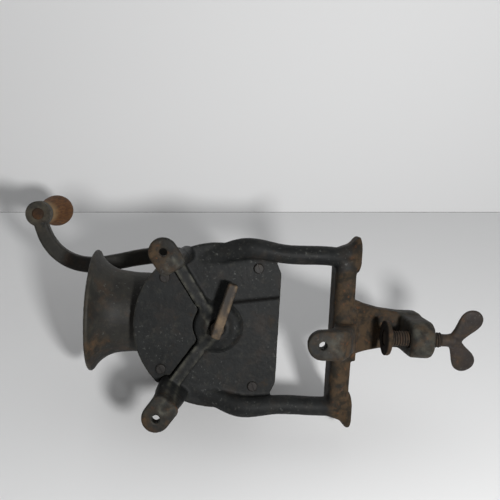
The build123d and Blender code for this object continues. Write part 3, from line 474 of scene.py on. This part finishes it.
def edges_of(mesh):
    """The point numbers at the two ends of each edge."""
    flat = np.empty(len(mesh.edges) * 2, dtype=np.int64)
    mesh.edges.foreach_get("vertices", flat)
    return flat.reshape(-1, 2)


def put_numbers(mesh, name, values):
    """Keeps one number for each point of a mesh, for materials to read by name."""
    numbers = mesh.attributes.get(name) or mesh.attributes.new(name, "FLOAT", "POINT")
    numbers.data.foreach_set("value", np.clip(values, 0, 1).astype(np.float32))


def numbers_of(mesh, name):
    """The numbers that a mesh keeps under a name."""
    values = np.empty(len(mesh.vertices), dtype=np.float32)
    mesh.attributes[name].data.foreach_get("value", values)
    return values


# %% [markdown]
# Soft edges and sand. Sand rounds an edge as if each point had been drawn towards its neighbours, so that is
# what the first function does. The grain of the sand is noise on a lattice, worked out from a hash of each
# corner, so it is the same at every run. Two simple curves say where something fades in or out.

# %% Softening and grain
PULL_IN, PUSH_OUT = 0.5, -0.52
PRIME_X, PRIME_Y, PRIME_Z = 73856093, 19349663, 83492791
PRIME_SEED, PRIME_STIR = 2654435761, 1274126177


def relaxed(points, edges, rounds, keep_size=True):
    """Points moved half way to the mean of their neighbours, round after round. With keep_size, each round is
    followed by a slightly larger one outwards, so that edges round off while walls keep their thickness."""
    ends = np.concatenate([edges, edges[:, ::-1]])
    here, there = ends.T
    count = np.bincount(here, minlength=len(points))[:, None]
    for _ in range(rounds):
        for pull in ((PULL_IN, PUSH_OUT) if keep_size else (PULL_IN,)):
            total = np.stack([np.bincount(here, points[there, k], len(points)) for k in range(3)], axis=1)
            points = points + pull * (total / np.maximum(count, 1) - points)
    return points


def lattice_noise(points, size_mm, seed):
    """Smooth noise from 0 to 1: a hashed height at each corner of a cubic lattice, eased between corners."""
    cell = points / (size_mm * MM)
    base = np.floor(cell).astype(np.int64)
    inside = cell - base
    ease = inside * inside * (3 - 2 * inside)
    total = np.zeros(len(points))
    for corner in np.ndindex(2, 2, 2):
        at = base + corner
        key = at[:, 0] * PRIME_X ^ at[:, 1] * PRIME_Y ^ at[:, 2] * PRIME_Z ^ seed * PRIME_SEED
        key = (key ^ (key >> 13)) * PRIME_STIR & 0xFFFFFFFF
        height = ((key ^ (key >> 16)) & 0xFFFF) / 0xFFFF
        total += height * np.prod(np.where(np.array(corner) == 1, ease, 1 - ease), axis=1)
    return total


def ramp(values, low, high):
    """Rises smoothly from 0 at low to 1 at high, or falls if high is the smaller."""
    t = np.clip((values - low) / (high - low), 0, 1)
    return t * t * (3 - 2 * t)


def bell(values, half):
    """One at zero, fading to nothing on both sides over the half width, as a bell curve."""
    return np.exp(-((values / half) ** 2))


def spots(points, rows):
    """A sum of round spots, each with its height, its centre in mm and the radius in mm it fades over."""
    total = np.zeros(len(points))
    for height, centre, radius in rows:
        away = np.linalg.norm(points - np.array(centre) * MM, axis=1)
        total += height * bell(away, radius * MM)
    return total


# %% [markdown]
# Sand castings. Iron that was poured into sand has no sharp edges, and its faces wave a little. Bevelling
# every edge of the solids would break on their small faces, so a copy of each casting is remeshed on a fine
# grid instead, relaxed until its edges are as soft as the real ones, and roughened. How far a point moves
# when it is relaxed once more tells edges from hollows: the coat is rubbed on the edges, and the hollows are
# darkened with dirt and with painted shade.

# %% Casting a node
WAVE_MM, WAVE_DEPTH = 14.0, 0.35 * MM
GRIT_MM, GRIT_DEPTH = 2.2, 0.14 * MM
SOFT_ROUNDS, MELT_ROUNDS, FEEL_ROUNDS = 9, 45, 5
EDGE_FELT, HOLLOW_FELT = (0.08, 0.45), (0.12, 0.6)
HOLLOW_DIRT_AND_SHADE = 0.8
MERGE_WITHIN = 0.0001 * MM


def outward(mesh):
    """Merges the doubled points of a closed mesh and turns every face outwards."""
    shell = bmesh.new()
    shell.from_mesh(mesh)
    bmesh.ops.remove_doubles(shell, verts=shell.verts, dist=MERGE_WITHIN)
    bmesh.ops.recalc_face_normals(shell, faces=shell.faces)
    shell.to_mesh(mesh)
    shell.free()


def remeshed(mesh, voxel):
    """A closed mesh made again on a grid of cubes of that size."""
    holder = bpy.data.objects.new("holder", mesh)
    bpy.context.scene.collection.objects.link(holder)
    remesh = holder.modifiers.new("grid", "REMESH")
    remesh.mode = "VOXEL"
    remesh.voxel_size = voxel
    depsgraph = bpy.context.evaluated_depsgraph_get()
    result = bpy.data.meshes.new_from_object(holder.evaluated_get(depsgraph), depsgraph=depsgraph)
    bpy.data.objects.remove(holder)
    return result


def hollowness(mesh, rounds, voxel):
    """How far each point would rise if relaxed, in voxels: above zero in hollows, below zero on edges."""
    points = points_of(mesh)
    rise = relaxed(points, edges_of(mesh), rounds, keep_size=False) - points
    return np.sum(rise * normals_of(mesh), axis=1) / voxel


def cast_mesh(node, voxel_mm, rounds, seed, soft=None, melted=None):
    """The sand-cast skin of a node: remeshed, relaxed, waved, and kept inside the node's own box. soft gives,
    for each point, how far it takes part in the relaxing that rounds the softest corners, and melted how far
    in the long one that runs steps together into one slope."""
    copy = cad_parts[node].data.copy()
    outward(copy)
    mesh = remeshed(copy, voxel_mm * MM)
    edges = edges_of(mesh)
    points = relaxed(points_of(mesh), edges, rounds)
    for taking_part, more in ((soft, SOFT_ROUNDS), (melted, MELT_ROUNDS)):
        if taking_part:
            share = taking_part(points)[:, None]
            points = points + share * (relaxed(points, edges, more, keep_size=False) - points)
    put_points(mesh, points)
    hollow = hollowness(mesh, FEEL_ROUNDS, voxel_mm * MM)
    put_numbers(mesh, "edge", ramp(-hollow, *EDGE_FELT))
    # Hollows are darkened: dirt, and painted shade where shade would fall.
    put_numbers(mesh, "grime_and_shade", HOLLOW_DIRT_AND_SHADE * ramp(hollow, *HOLLOW_FELT))
    swell = WAVE_DEPTH * (lattice_noise(points, WAVE_MM, seed) - 0.5)
    swell = swell + GRIT_DEPTH * (lattice_noise(points, GRIT_MM, seed + 1) - 0.5)
    low, high = (np.array(corner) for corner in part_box(node))
    put_points(mesh, np.clip(points + normals_of(mesh) * swell[:, None], low, high))
    return mesh


# %% [markdown]
# Pieces and bodies. A finished mesh becomes an object that rides on one of the mill's moving bodies, takes
# its finish, and stands for the solid that it replaces, which is hidden. One function does this for every
# piece, so that no step is forgotten.

# %% Adding a piece


def add_piece(name, mesh, body, slot, material, *nodes):
    """Puts a finished piece in the scene: smooth-shaded, riding on its body and standing for its nodes."""
    mesh.shade_smooth()
    mesh.materials.clear()
    mesh.materials.append(material)
    piece = bpy.data.objects.new(name, mesh)
    bpy.context.scene.collection.objects.link(piece)
    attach(piece, body)
    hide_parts(*nodes)
    print(name, "points:", len(mesh.vertices))


# %% [markdown]
# The rear frame is one casting: the back plate with its ribs and boss, three ears that stand off a wall,
# two legs, the base bar with its feet, and the clamp's jaw. One softness for all of it would blur the plate
# or leave the base too crisp, so two functions say where it is softer. The shaft slides in the boss, so its
# bore is opened again after the softening.

# %% Shape of the rear frame
CRANK_Z = 107 * MM
EAR_X, EAR_Z = 60 * MM, 148.5 * MM
LOW_EAR_X, LOW_EAR_Z = -2 * MM, 31 * MM
PLATE_FACE = 2.5 * MM
BASE_SOFT_Z = (24 * MM, 16 * MM)
LEG_BESIDE_X = (42 * MM, 48 * MM)
LEG_ROOT_LOW_Z, LEG_ROOT_HIGH_Z = (70 * MM, 78 * MM), (130 * MM, 122 * MM)
BOSS_REACH = (24 * MM, 20 * MM)
EAR_POST_Y, EAR_FACE_Y = (-16 * MM, -26 * MM), (-44 * MM, -38 * MM)
EAR_HOLE_REACH = (6 * MM, 9 * MM)
SHAFT_BORE_R, BORE_NEAR, BORE_LOW, BORE_HIGH = 6.3 * MM, 9 * MM, 6.5 * MM, 16.5 * MM


def soft_frame(points):
    """The base and the roots of the legs are soft: a share that rises towards each of them."""
    x, y, z = points.T
    root = ramp(np.abs(x), *LEG_BESIDE_X) * ramp(z, *LEG_ROOT_LOW_Z) * ramp(z, *LEG_ROOT_HIGH_Z)
    return np.clip(ramp(z, *BASE_SOFT_Z) + root * (y < PLATE_FACE), 0, 1)


def melted_frame(points):
    """The boss runs into the plate and the ears into their posts, while the holes of the ears stay round."""
    x, y, z = points.T
    boss = ramp(np.hypot(x, z - CRANK_Z), *BOSS_REACH) * (y < 0)
    hole_away = np.minimum(np.hypot(np.abs(x) - EAR_X, z - EAR_Z), np.hypot(x - LOW_EAR_X, z - LOW_EAR_Z))
    ears = ramp(y, *EAR_POST_Y) * ramp(y, *EAR_FACE_Y) * ramp(hole_away, *EAR_HOLE_REACH)
    return np.clip(boss + ears, 0, 1)


def open_bore(points):
    """Points on the wall of the shaft's bore, moved straight out to the radius that the shaft slides in."""
    away = np.hypot(points[:, 0], points[:, 2] - CRANK_Z)
    wall = (away < BORE_NEAR) & (points[:, 1] > BORE_LOW) & (points[:, 1] < BORE_HIGH)
    wider = np.where(wall, np.maximum(away, SHAFT_BORE_R) / np.maximum(away, MM), 1.0)
    axis = np.array([0, 0, CRANK_Z])
    return axis + (points - axis) * np.stack([wider, np.ones_like(wider), wider], axis=1)


frame_mesh = cast_mesh("rear_frame", voxel_mm=0.95, rounds=4, seed=11, soft=soft_frame, melted=melted_frame)
frame_at = open_bore(points_of(frame_mesh))
print("frame box in mm:", np.round(np.ptp(frame_at, axis=0) / MM, 1))

# %% [markdown]
# The frame's wear and painted light. A cold shut, a thin line where two streams of iron met, runs across the
# plate: it is a groove in the mesh, darkened with dirt and painted shade. The base has lost most of its coat,
# which reaches further down on the leg at the knob's side. The ribs and the jaw are rubbed, a lighter patch
# low on the lower ear is a painted highlight, and rust has come out in a few spots on the ears and the plate.
# Each is a share worked out from a point's place and kept on the mesh.

# %% Wear and painted light of the rear frame
NO_DEPTH = np.array([1, 0, 1])
COLD_SHUT = (np.array([19.0, 0.0, 96.0]) * MM, np.array([24.8, 0.0, 58.0]) * MM)
COLD_SHUT_HALF, COLD_SHUT_DEPTH = 1.0 * MM, 0.9 * MM
# How dark the cold shut's groove and the frame's hollows are made: dirt and painted shade.
COLD_SHUT_DIRT_AND_SHADE, FRAME_DIRT_AND_SHADE = 1.5, 0.35
RIB = (np.array([2.5, 0.0, 109.3]) * MM, np.array([52.3, 0.0, 142.8]) * MM)
RIB_EDGE, RIB_EDGE_HALF, RIB_TOP = 3.6 * MM, 1.5 * MM, -3.6 * MM
EAR_WEAR_Y, JAW_WEAR_Z, BASE_WEAR_Z = (-20 * MM, -36 * MM), (-30 * MM, -44 * MM), (30 * MM, 12 * MM)
KNOB_SIDE_COAT, KNOB_SIDE_X = 11 * MM, (44 * MM, 52 * MM)
OTHER_SIDE_COAT, OTHER_SIDE_X = 5 * MM, (-44 * MM, -52 * MM)
EAR_KEEPS, JAW_KEEPS = 0.7, 0.45
RIB_RUB, JAW_RUB, EAR_RUB = 0.9, 0.75, 0.1
BASE_RUST, EAR_RUST = 0.5, 0.25
# A lighter patch on the lower ear's face, which is a painted highlight.
LOW_EAR_PAINTED_HIGHLIGHT = ((0.8, (-2, -46, 21), 9),)
FRAME_RUST_SPOTS = (
    (0.2, (-66, 0, 8), 22),
    (0.25, (-44, 0, 69), 5),
    (0.2, (4, 0, 64), 7),
    (0.3, (-63, -46, 158), 7),
    (0.3, (57, -46, 155), 9),
)


def from_line(points, start, end):
    """Distance of each point from the line between two points."""
    run = end - start
    share = np.clip((points - start) @ run / (run @ run), 0, 1)
    return np.linalg.norm(points - start - share[:, None] * run, axis=1)


x, y, z = frame_at.T
groove = bell(from_line(frame_at * NO_DEPTH, *COLD_SHUT), COLD_SHUT_HALF) * (np.abs(y) < PLATE_FACE)
put_points(frame_mesh, frame_at + np.outer(groove * COLD_SHUT_DEPTH, [0, 1, 0]))
# The groove and the hollows are darkened with dirt and painted shade.
frame_dirt_and_shade = FRAME_DIRT_AND_SHADE * numbers_of(frame_mesh, "grime_and_shade") + COLD_SHUT_DIRT_AND_SHADE * groove
put_numbers(frame_mesh, "grime_and_shade", frame_dirt_and_shade)

ear_share, jaw_share = ramp(y, *EAR_WEAR_Y), ramp(z, *JAW_WEAR_Z)
leg_coat = KNOB_SIDE_COAT * ramp(x, *KNOB_SIDE_X) + OTHER_SIDE_COAT * ramp(x, *OTHER_SIDE_X)
base_share = ramp(z + leg_coat, *BASE_WEAR_Z) * (1 - EAR_KEEPS * ear_share) * (1 - JAW_KEEPS * jaw_share)
rib_away = from_line(np.abs(frame_at) * NO_DEPTH, *RIB)
rib_rub = RIB_RUB * bell(rib_away - RIB_EDGE, RIB_EDGE_HALF) * (y < RIB_TOP)
# The lower ear's patch adds a painted highlight to the rubbing.
frame_rub_and_highlight = rib_rub + JAW_RUB * jaw_share + EAR_RUB * ear_share + spots(frame_at, LOW_EAR_PAINTED_HIGHLIGHT)
put_numbers(frame_mesh, "edge", numbers_of(frame_mesh, "edge") + frame_rub_and_highlight)
frame_rust = BASE_RUST * base_share + EAR_RUST * ear_share + spots(frame_at, FRAME_RUST_SPOTS)
put_numbers(frame_mesh, "rust", frame_rust)
add_piece("rear_frame_casting", frame_mesh, "frame", "japanned_iron", japanned_iron, "rear_frame")

# %% [markdown]
# The hopper housing carries the flared hopper, the feed trough and the drum around the burrs. A turned
# surface would do for the flare alone, but it is one casting with the drum, so it is remeshed like the frame.
# Its walls are thin and get few rounds. The rim is a little rusty, and rust has come through low on the
# flare.

# %% Hopper housing
RIM_RUST, RIM_Z = 0.12, (198 * MM, 206 * MM)
FLARE_RUST_SPOTS = ((0.72, (-25, 6, 197), 13), (0.3, (8, 3, 194), 10))

housing_mesh = cast_mesh("hopper_housing", voxel_mm=1.2, rounds=2, seed=23)
housing_at = points_of(housing_mesh)
housing_rust = spots(housing_at, FLARE_RUST_SPOTS) + RIM_RUST * ramp(housing_at[:, 2], *RIM_Z)
put_numbers(housing_mesh, "rust", housing_rust)
add_piece("hopper_housing_casting", housing_mesh, "frame", "japanned_iron", thin_japan, "hopper_housing")

# %% [markdown]
# The two covers close the drum. The back cover's upper half stands proud and shows above the ribs. Both are
# flat castings, remeshed finely enough to keep their rims crisp, with a faint rust that wanders.

# %% Covers
COVER_RUST, COVER_RUST_MM = 0.1, 20

for node, seed in (("back_cover", 31), ("front_cover", 37)):
    cover_mesh = cast_mesh(node, voxel_mm=0.9, rounds=2, seed=seed)
    put_numbers(cover_mesh, "rust", COVER_RUST * lattice_noise(points_of(cover_mesh), COVER_RUST_MM, seed))
    add_piece(node + "_casting", cover_mesh, "frame", "japanned_iron", japanned_iron, node)

# %% [markdown]
# The crank arm is a slim casting, softer at its edges than the rest because it is held so often. It gets
# more rounds on a finer grid, and the eye at its end, where the rivet works, is rubbed and a little rusty.

# %% Crank arm
ARM_EYE_SPOT = ((1.0, (74, 106, 271), 14),)
ARM_EYE_RUST, ARM_EYE_RUB, ARM_EDGE_RUB = 0.2, 1.2, 0.6

arm_mesh = cast_mesh("crank_arm", voxel_mm=0.75, rounds=5, seed=41)
arm_eye = spots(points_of(arm_mesh), ARM_EYE_SPOT)
put_numbers(arm_mesh, "rust", ARM_EYE_RUST * arm_eye)
put_numbers(arm_mesh, "edge", ARM_EDGE_RUB * numbers_of(arm_mesh, "edge") + ARM_EYE_RUB * arm_eye)
add_piece("crank_arm_casting", arm_mesh, "crank", "japanned_iron", thin_japan, "crank_arm")

# %% [markdown]
# The adjusting screw is turned by its lever, whose heel is rubbed down to brown metal and whose outer edge is
# lightened as a painted highlight. The lever stands at a slant, so places on it are measured along and across
# the lever, not along X and Z.

# %% Adjusting screw
LEVER_TURN = math.radians(-16)
LEVER_FACE_Y = (-17 * MM, -21 * MM)
LEVER_HEEL, LEVER_OUTER_HIGHLIGHT = (20 * MM, 6 * MM), (0.4 * MM, 2.2 * MM)
# The outer edge of the lever's face is lightened as a painted highlight.
HEEL_RUST, HEEL_RUB, OUTER_PAINTED_HIGHLIGHT, LEVER_RUB = 0.15, 1.2, 0.8, 0.4

lever_mesh = cast_mesh("adjusting_screw", voxel_mm=0.45, rounds=3, seed=53)
x, y, z = points_of(lever_mesh).T
along = x * math.cos(LEVER_TURN) + (z - CRANK_Z) * math.sin(LEVER_TURN)
across = x * math.sin(LEVER_TURN) - (z - CRANK_Z) * math.cos(LEVER_TURN)
lever_heel = ramp(y, *LEVER_FACE_Y) * ramp(along, *LEVER_HEEL)
# The outer side of the lever's face is lighter: a painted highlight.
lever_edge = ramp(y, *LEVER_FACE_Y) * ramp(across, *LEVER_OUTER_HIGHLIGHT)
lever_rub_and_highlight = LEVER_RUB * numbers_of(lever_mesh, "edge") + HEEL_RUB * lever_heel + OUTER_PAINTED_HIGHLIGHT * lever_edge
put_numbers(lever_mesh, "rust", HEEL_RUST * lever_heel)
put_numbers(lever_mesh, "edge", lever_rub_and_highlight)
add_piece("adjusting_lever", lever_mesh, "adjuster", "worn_iron", rubbed_iron, "adjusting_screw")

# %% [markdown]
# Surfaces from grids. The thumb screw and the knob have shapes that formulas give well. Such a surface is a
# grid of points: one direction runs along it and the other around it, and the whole array goes into the mesh
# at once. A turned shape is the simplest: a profile of radii and heights carried around a line.

# %% Helpers for grids


def around(columns):
    """Angles spread evenly over one turn."""
    return np.linspace(0, 2 * np.pi, columns, endpoint=False)


def mesh_of_grid(name, grid, closed_along=False):
    """A mesh of a grid of points, rows x columns, joined around each row and, if closed, from last row to
    first. An open grid gets one point at each end, the mean of that row, so that the piece has no hole."""
    rows, columns, _ = grid.shape
    points = grid.reshape(-1, 3)
    joins = rows if closed_along else rows - 1
    row, column = np.meshgrid(np.arange(joins), np.arange(columns), indexing="ij")
    here, beside = row * columns + column, row * columns + (column + 1) % columns
    step = columns * ((row + 1) % rows - row)
    faces = np.stack([here, beside, beside + step, here + step], axis=-1).reshape(-1, 4).tolist()
    if not closed_along:
        first, last = len(points), len(points) + 1
        points = np.vstack([points, grid[0].mean(axis=0), grid[-1].mean(axis=0)])
        this = np.arange(columns)
        after = (this + 1) % columns
        end = (rows - 1) * columns
        faces += np.stack([after, this, np.full(columns, first)], axis=-1).tolist()
        faces += np.stack([end + this, end + after, np.full(columns, last)], axis=-1).tolist()
    mesh = bpy.data.meshes.new(name)
    mesh.from_pydata(points.tolist(), [], faces)
    outward(mesh)
    return mesh


def turned_grid(profile, centre, columns=64):
    """A profile, rows of a radius and a height, turned around a vertical line through the centre."""
    angle = around(columns)
    radii, heights = np.hsplit(np.asarray(profile), 2)
    x, y = centre[0] + radii * np.cos(angle), centre[1] + radii * np.sin(angle)
    return np.stack([x, y, heights + 0 * angle], axis=-1)


# %% [markdown]
# The wings of the clamp screw are ovals carried out along a line, wide at the lobes and closed at their tips.
# A cast thumb screw has no seam between wing and neck, so both wings and the neck are remeshed together and
# relaxed until they flow into each other.

# %% Shape of a wing
CLAMP_AT = np.array([-1.5, -10.0]) * MM
WING_ROOT, WING_LOBE = np.array([0.0, -77.0]) * MM, np.array([18.0, -88.0]) * MM
LOBE_R, WAIST_R, WAIST_UNTIL = 9.0 * MM, 5.4 * MM, 0.2
WING_THICK, ROOT_THICKER, THINS_BY = 2.9 * MM, 1.15, 0.3
OVAL_ACROSS, OVAL_DEEP = 0.85, 0.7
WING_TURN = math.radians(-18)


def rounded(wave, power):
    """A sine or cosine with its middle raised by a power under one, which makes a circle squarer."""
    return np.sign(wave) * np.abs(wave) ** power


def wing_grid(side, rows=70, columns=48):
    """An oval carried from the neck to the tip of a lobe: it starts as wide as the waist, swells to the
    lobe's radius and closes as a circle does, with a thickness that thins slowly and closes with it."""
    run = unit(WING_LOBE - WING_ROOT)
    lobe_at = np.linalg.norm(WING_LOBE - WING_ROOT)
    reach = np.sin(np.linspace(0, np.pi / 2, rows))[:, None] * (lobe_at + LOBE_R)
    past = np.clip((reach - lobe_at) / LOBE_R, 0, 1)
    half = WAIST_R + (LOBE_R - WAIST_R) * ramp(reach, WAIST_UNTIL * lobe_at, lobe_at)
    half = half * np.sqrt(np.maximum(1 - past ** 2, 0))
    thick = WING_THICK * (ROOT_THICKER - THINS_BY * ramp(reach, 0, lobe_at))
    thick = thick * np.sqrt(np.maximum(1 - past ** 4, 0))
    angle = around(columns)
    flat = half * rounded(np.cos(angle), OVAL_ACROSS)
    depth = thick * rounded(np.sin(angle), OVAL_DEEP)
    across = side * (WING_ROOT[0] + run[0] * reach - run[1] * flat)
    height = WING_ROOT[1] + run[1] * reach + run[0] * flat
    turned_x = across * math.cos(WING_TURN) - depth * math.sin(WING_TURN)
    turned_y = across * math.sin(WING_TURN) + depth * math.cos(WING_TURN)
    return np.stack([CLAMP_AT[0] + turned_x, CLAMP_AT[1] + turned_y, height], axis=-1)


# %% Clamp wings
NECK_R, NECK_HIGH = 4.8 * MM, -65.0 * MM
NECK_PROFILE = [(0.6 * NECK_R, NECK_HIGH), (NECK_R, NECK_HIGH), (NECK_R, -72 * MM),
                (1.25 * NECK_R, -76.5 * MM), (0.9 * NECK_R, -82 * MM), (0.3 * NECK_R, -83.5 * MM)]
WING_VOXEL, WING_ROUNDS, WING_FEEL_ROUNDS = 0.5 * MM, 6, 8
WING_EDGE_FELT, WING_RUB = (0.1, 0.5), 0.6
WING_RUST, WING_RUST_MORE, WING_RUST_MM = 0.18, 0.15, 9
WING_GRIT_DEPTH, WING_GRIT_MM = 0.16 * MM, 2.4


def joined(meshes, name):
    """Several meshes as one."""
    shell = bmesh.new()
    for mesh in meshes:
        shell.from_mesh(mesh)
    result = bpy.data.meshes.new(name)
    shell.to_mesh(result)
    shell.free()
    return result


neck = mesh_of_grid("neck", turned_grid(NECK_PROFILE, CLAMP_AT))
wings = [mesh_of_grid("wing", wing_grid(side)) for side in (1, -1)]
wing_mesh = remeshed(joined([neck] + wings, "wings"), WING_VOXEL)
put_points(wing_mesh, relaxed(points_of(wing_mesh), edges_of(wing_mesh), WING_ROUNDS))
wing_at = points_of(wing_mesh)
wing_hollow = hollowness(wing_mesh, WING_FEEL_ROUNDS, WING_VOXEL)
put_numbers(wing_mesh, "edge", WING_RUB * ramp(-wing_hollow, *WING_EDGE_FELT))
put_numbers(wing_mesh, "rust", WING_RUST + WING_RUST_MORE * lattice_noise(wing_at, WING_RUST_MM, seed=61))
grit = WING_GRIT_DEPTH * (lattice_noise(wing_at, WING_GRIT_MM, seed=67) - 0.5)
put_points(wing_mesh, wing_at + normals_of(wing_mesh) * grit[:, None])
add_piece("clamp_wings", wing_mesh, "clamp_screw", "worn_iron", handled_iron, "clamp_screw")

# %% [markdown]
# The thread of the clamp screw. A thread is a cylinder whose radius rises and falls once for each turn and
# each pitch, so it is one function of the angle and the height. Its valleys are darkened with dirt and
# painted shade. The tip above it is turned, with a small head that the pad swivels on.

# %% Clamp thread
THREAD_R, THREAD_DEPTH, PITCH = 5.95 * MM, 0.85 * MM, 2.0 * MM
THREAD_LOW, THREAD_HIGH, THREAD_FADE = -67.0 * MM, -26.5 * MM, 1.2 * MM
CREST_POWER = 0.8
VALLEY_FROM, VALLEY_DIRT_AND_SHADE = 0.35 * MM, 0.9
THREAD_RUST = 0.45


def thread_grid(rows=230, columns=72):
    """Radius by angle and height: the crest less a depth that rises and falls once a pitch and a turn."""
    height, angle = np.meshgrid(np.linspace(THREAD_LOW, THREAD_HIGH, rows), around(columns), indexing="ij")
    phase = 2 * np.pi * height / PITCH - angle
    fade = ramp(np.minimum(height - THREAD_LOW, THREAD_HIGH - height), 0, THREAD_FADE)
    radius = THREAD_R - THREAD_DEPTH * (1 - fade * (0.5 + 0.5 * np.cos(phase)) ** CREST_POWER)
    x, y = CLAMP_AT[0] + radius * np.cos(angle), CLAMP_AT[1] + radius * np.sin(angle)
    return np.stack([x, y, height], axis=-1)


thread_mesh = mesh_of_grid("clamp_thread", thread_grid())
thread_at = points_of(thread_mesh)
from_axis = np.hypot(*(thread_at[:, :2] - CLAMP_AT).T)
# The valleys are darkened: dirt, and painted shade.
thread_dirt_and_shade = VALLEY_DIRT_AND_SHADE * ramp(from_axis, THREAD_R - VALLEY_FROM, THREAD_R - THREAD_DEPTH)
put_numbers(thread_mesh, "grime_and_shade", thread_dirt_and_shade)
put_numbers(thread_mesh, "rust", np.full(len(thread_at), THREAD_RUST))
add_piece("clamp_thread", thread_mesh, "clamp_screw", "worn_iron", handled_iron, "clamp_screw")

# %% Clamp tip
TIP_R, TIP_HIGH = 3.4 * MM, -23.8 * MM
HEAD_R, HEAD_HIGH = 5.3 * MM, -22.5 * MM
TIP_PROFILE = [(0.5 * TIP_R, THREAD_HIGH - MM), (TIP_R, THREAD_HIGH - 0.6 * MM), (TIP_R, TIP_HIGH),
               (HEAD_R, TIP_HIGH), (HEAD_R, HEAD_HIGH - 0.4 * MM), (0.9 * HEAD_R, HEAD_HIGH),
               (0.4 * HEAD_R, HEAD_HIGH)]
TIP_RUST = 0.3

tip_mesh = mesh_of_grid("clamp_tip", turned_grid(TIP_PROFILE, CLAMP_AT))
put_numbers(tip_mesh, "rust", np.full(len(tip_mesh.vertices), TIP_RUST))
add_piece("clamp_tip", tip_mesh, "clamp_screw", "worn_iron", handled_iron, "clamp_screw")

# %% [markdown]
# The swivel pad is a cast disc on the tip of the screw, a little hollow on top where it meets the table. Its
# solid has that shape already, so it only gets a cast skin, rust all over and a painted shadow that darkens
# its upper face.

# %% Clamp pad
PAD_RUST, PAD_RUST_MORE, PAD_RUST_MM = 0.35, 0.2, 8
PAD_TOP_PAINTED_SHADOW, PAD_TOP_Z = 0.85, (-23.2 * MM, -22.4 * MM)

pad_mesh = cast_mesh("clamp_pad", voxel_mm=0.5, rounds=2, seed=71)
pad_at = points_of(pad_mesh)
put_numbers(pad_mesh, "rust", PAD_RUST + PAD_RUST_MORE * lattice_noise(pad_at, PAD_RUST_MM, seed=73))
# The upper face is darkened as a painted shadow.
put_numbers(pad_mesh, "grime_and_shade", PAD_TOP_PAINTED_SHADOW * ramp(pad_at[:, 2], *PAD_TOP_Z))
add_piece("clamp_pad_disc", pad_mesh, "clamp_pad", "rusty_steel", rusty_steel, "clamp_pad")

# %% [markdown]
# The knob is a turned profile carried around its pin: a collar with two grooves, a slim waist, a round
# belly, and a countersink at the end for the head of the pin. A smooth curve through a few points gives the
# outline, as a turner's template does, and the profile is closed through the bore.

# %% Shape of the knob
KNOB_AT = np.array([74.3, 118.0, 270.8]) * MM
KNOB_LENGTH = 88.0
BORE_R, SINK_R, SINK_DEPTH = 4.3, 7.0, 4.4
KNOB_OUTLINE = [(9.2, 0.0), (10.8, 2.2), (9.8, 5.2), (9.9, 16.0), (12.0, 36.0), (14.9, 60.0), (15.25, 72.0),
                (13.3, 82.5), (9.2, KNOB_LENGTH)]
GROOVES_MM, GROOVE_HALF, GROOVE_DEPTH = (4.2, 7.4), 0.55, 0.7


def smooth_through(points, count):
    """Points along a smooth curve through the given ones: each span is the cubic that its neighbours set."""
    points = np.asarray(points, float)
    padded = np.vstack([2 * points[0] - points[1], points, 2 * points[-1] - points[-2]])
    at = np.linspace(0, len(points) - 1, count)
    span = np.minimum(at.astype(int), len(points) - 2)
    t = (at - span)[:, None]
    a, b, c, d = padded[span], padded[span + 1], padded[span + 2], padded[span + 3]
    return b + 0.5 * t * (c - a + t * (2 * a - 5 * b + 4 * c - d + t * (3 * (b - c) + d - a)))


def in_grooves(along_mm):
    """One in the middle of each groove, fading to nothing beside it."""
    return sum(bell(along_mm - groove_mm, GROOVE_HALF) for groove_mm in GROOVES_MM)


def knob_profile(rows=150):
    """Radius and place along the axis: a smooth outline less its grooves, then back through the bore."""
    outline = smooth_through(KNOB_OUTLINE, rows)
    outline[:, 0] -= GROOVE_DEPTH * in_grooves(outline[:, 1])
    sink_floor = KNOB_LENGTH - SINK_DEPTH
    inner = [(SINK_R, KNOB_LENGTH), (SINK_R, sink_floor), (BORE_R, sink_floor), (BORE_R, 0)]
    return np.vstack([outline, inner]) * MM


def knob_grid(columns=96):
    """The profile turned around the knob's axis, which runs along Y."""
    radius, along = np.hsplit(knob_profile(), 2)
    angle = around(columns)
    return np.stack([radius * np.cos(angle), along + 0 * angle, radius * np.sin(angle)], axis=-1) + KNOB_AT


# %% Knob
COLLAR_WEAR, COLLAR_UNTIL = 0.85, (30.0, 10.0)
COLLAR_PATCH_MM, PATCH_LEAST = 5, 0.55
GROOVE_DIRT_AND_SHADE = 0.8

knob_mesh = mesh_of_grid("knob", knob_grid(), closed_along=True)
knob_at = points_of(knob_mesh)
along_mm = (knob_at[:, 1] - KNOB_AT[1]) / MM
patches = PATCH_LEAST + (1 - PATCH_LEAST) * lattice_noise(knob_at, COLLAR_PATCH_MM, seed=83)
put_numbers(knob_mesh, "wear", COLLAR_WEAR * ramp(along_mm, *COLLAR_UNTIL) * patches)
# The grooves are darkened: dirt, and painted shade.
put_numbers(knob_mesh, "grime_and_shade", GROOVE_DIRT_AND_SHADE * in_grooves(along_mm))
add_piece("turned_knob", knob_mesh, "knob", "turned_wood", knob_wood, "knob")

# %% [markdown]
# The small parts: screws, washers, pins, the nut and what is inside the drum. Their solids have the right
# shapes already, so making them again would add nothing. Each keeps its solid and gets a finish: dark steel
# on screws and washers, rust on the rivet, bare grey iron on burrs and worm, bright steel where parts run.

# %% Finishes of the small parts
FINISHES = {
    dark_steel: ("cover_screws", "frame_screws", "front_screws", "burr_screws", "crank_washer", "crank_nut",
                 "knob_washer"),
    rusty_steel: ("knob_pin",),
    bare_iron: ("fixed_burr", "rotating_burr", "feed_worm"),
    bright_steel: ("crank_shaft", "worm_pin", "thrust_spring", "thrust_ball"),
}
for material, nodes in FINISHES.items():
    for node in nodes:
        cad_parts[node].data.materials.clear()
        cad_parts[node].data.materials.append(material)
print("dressed nodes:", sum(len(nodes) for nodes in FINISHES.values()))
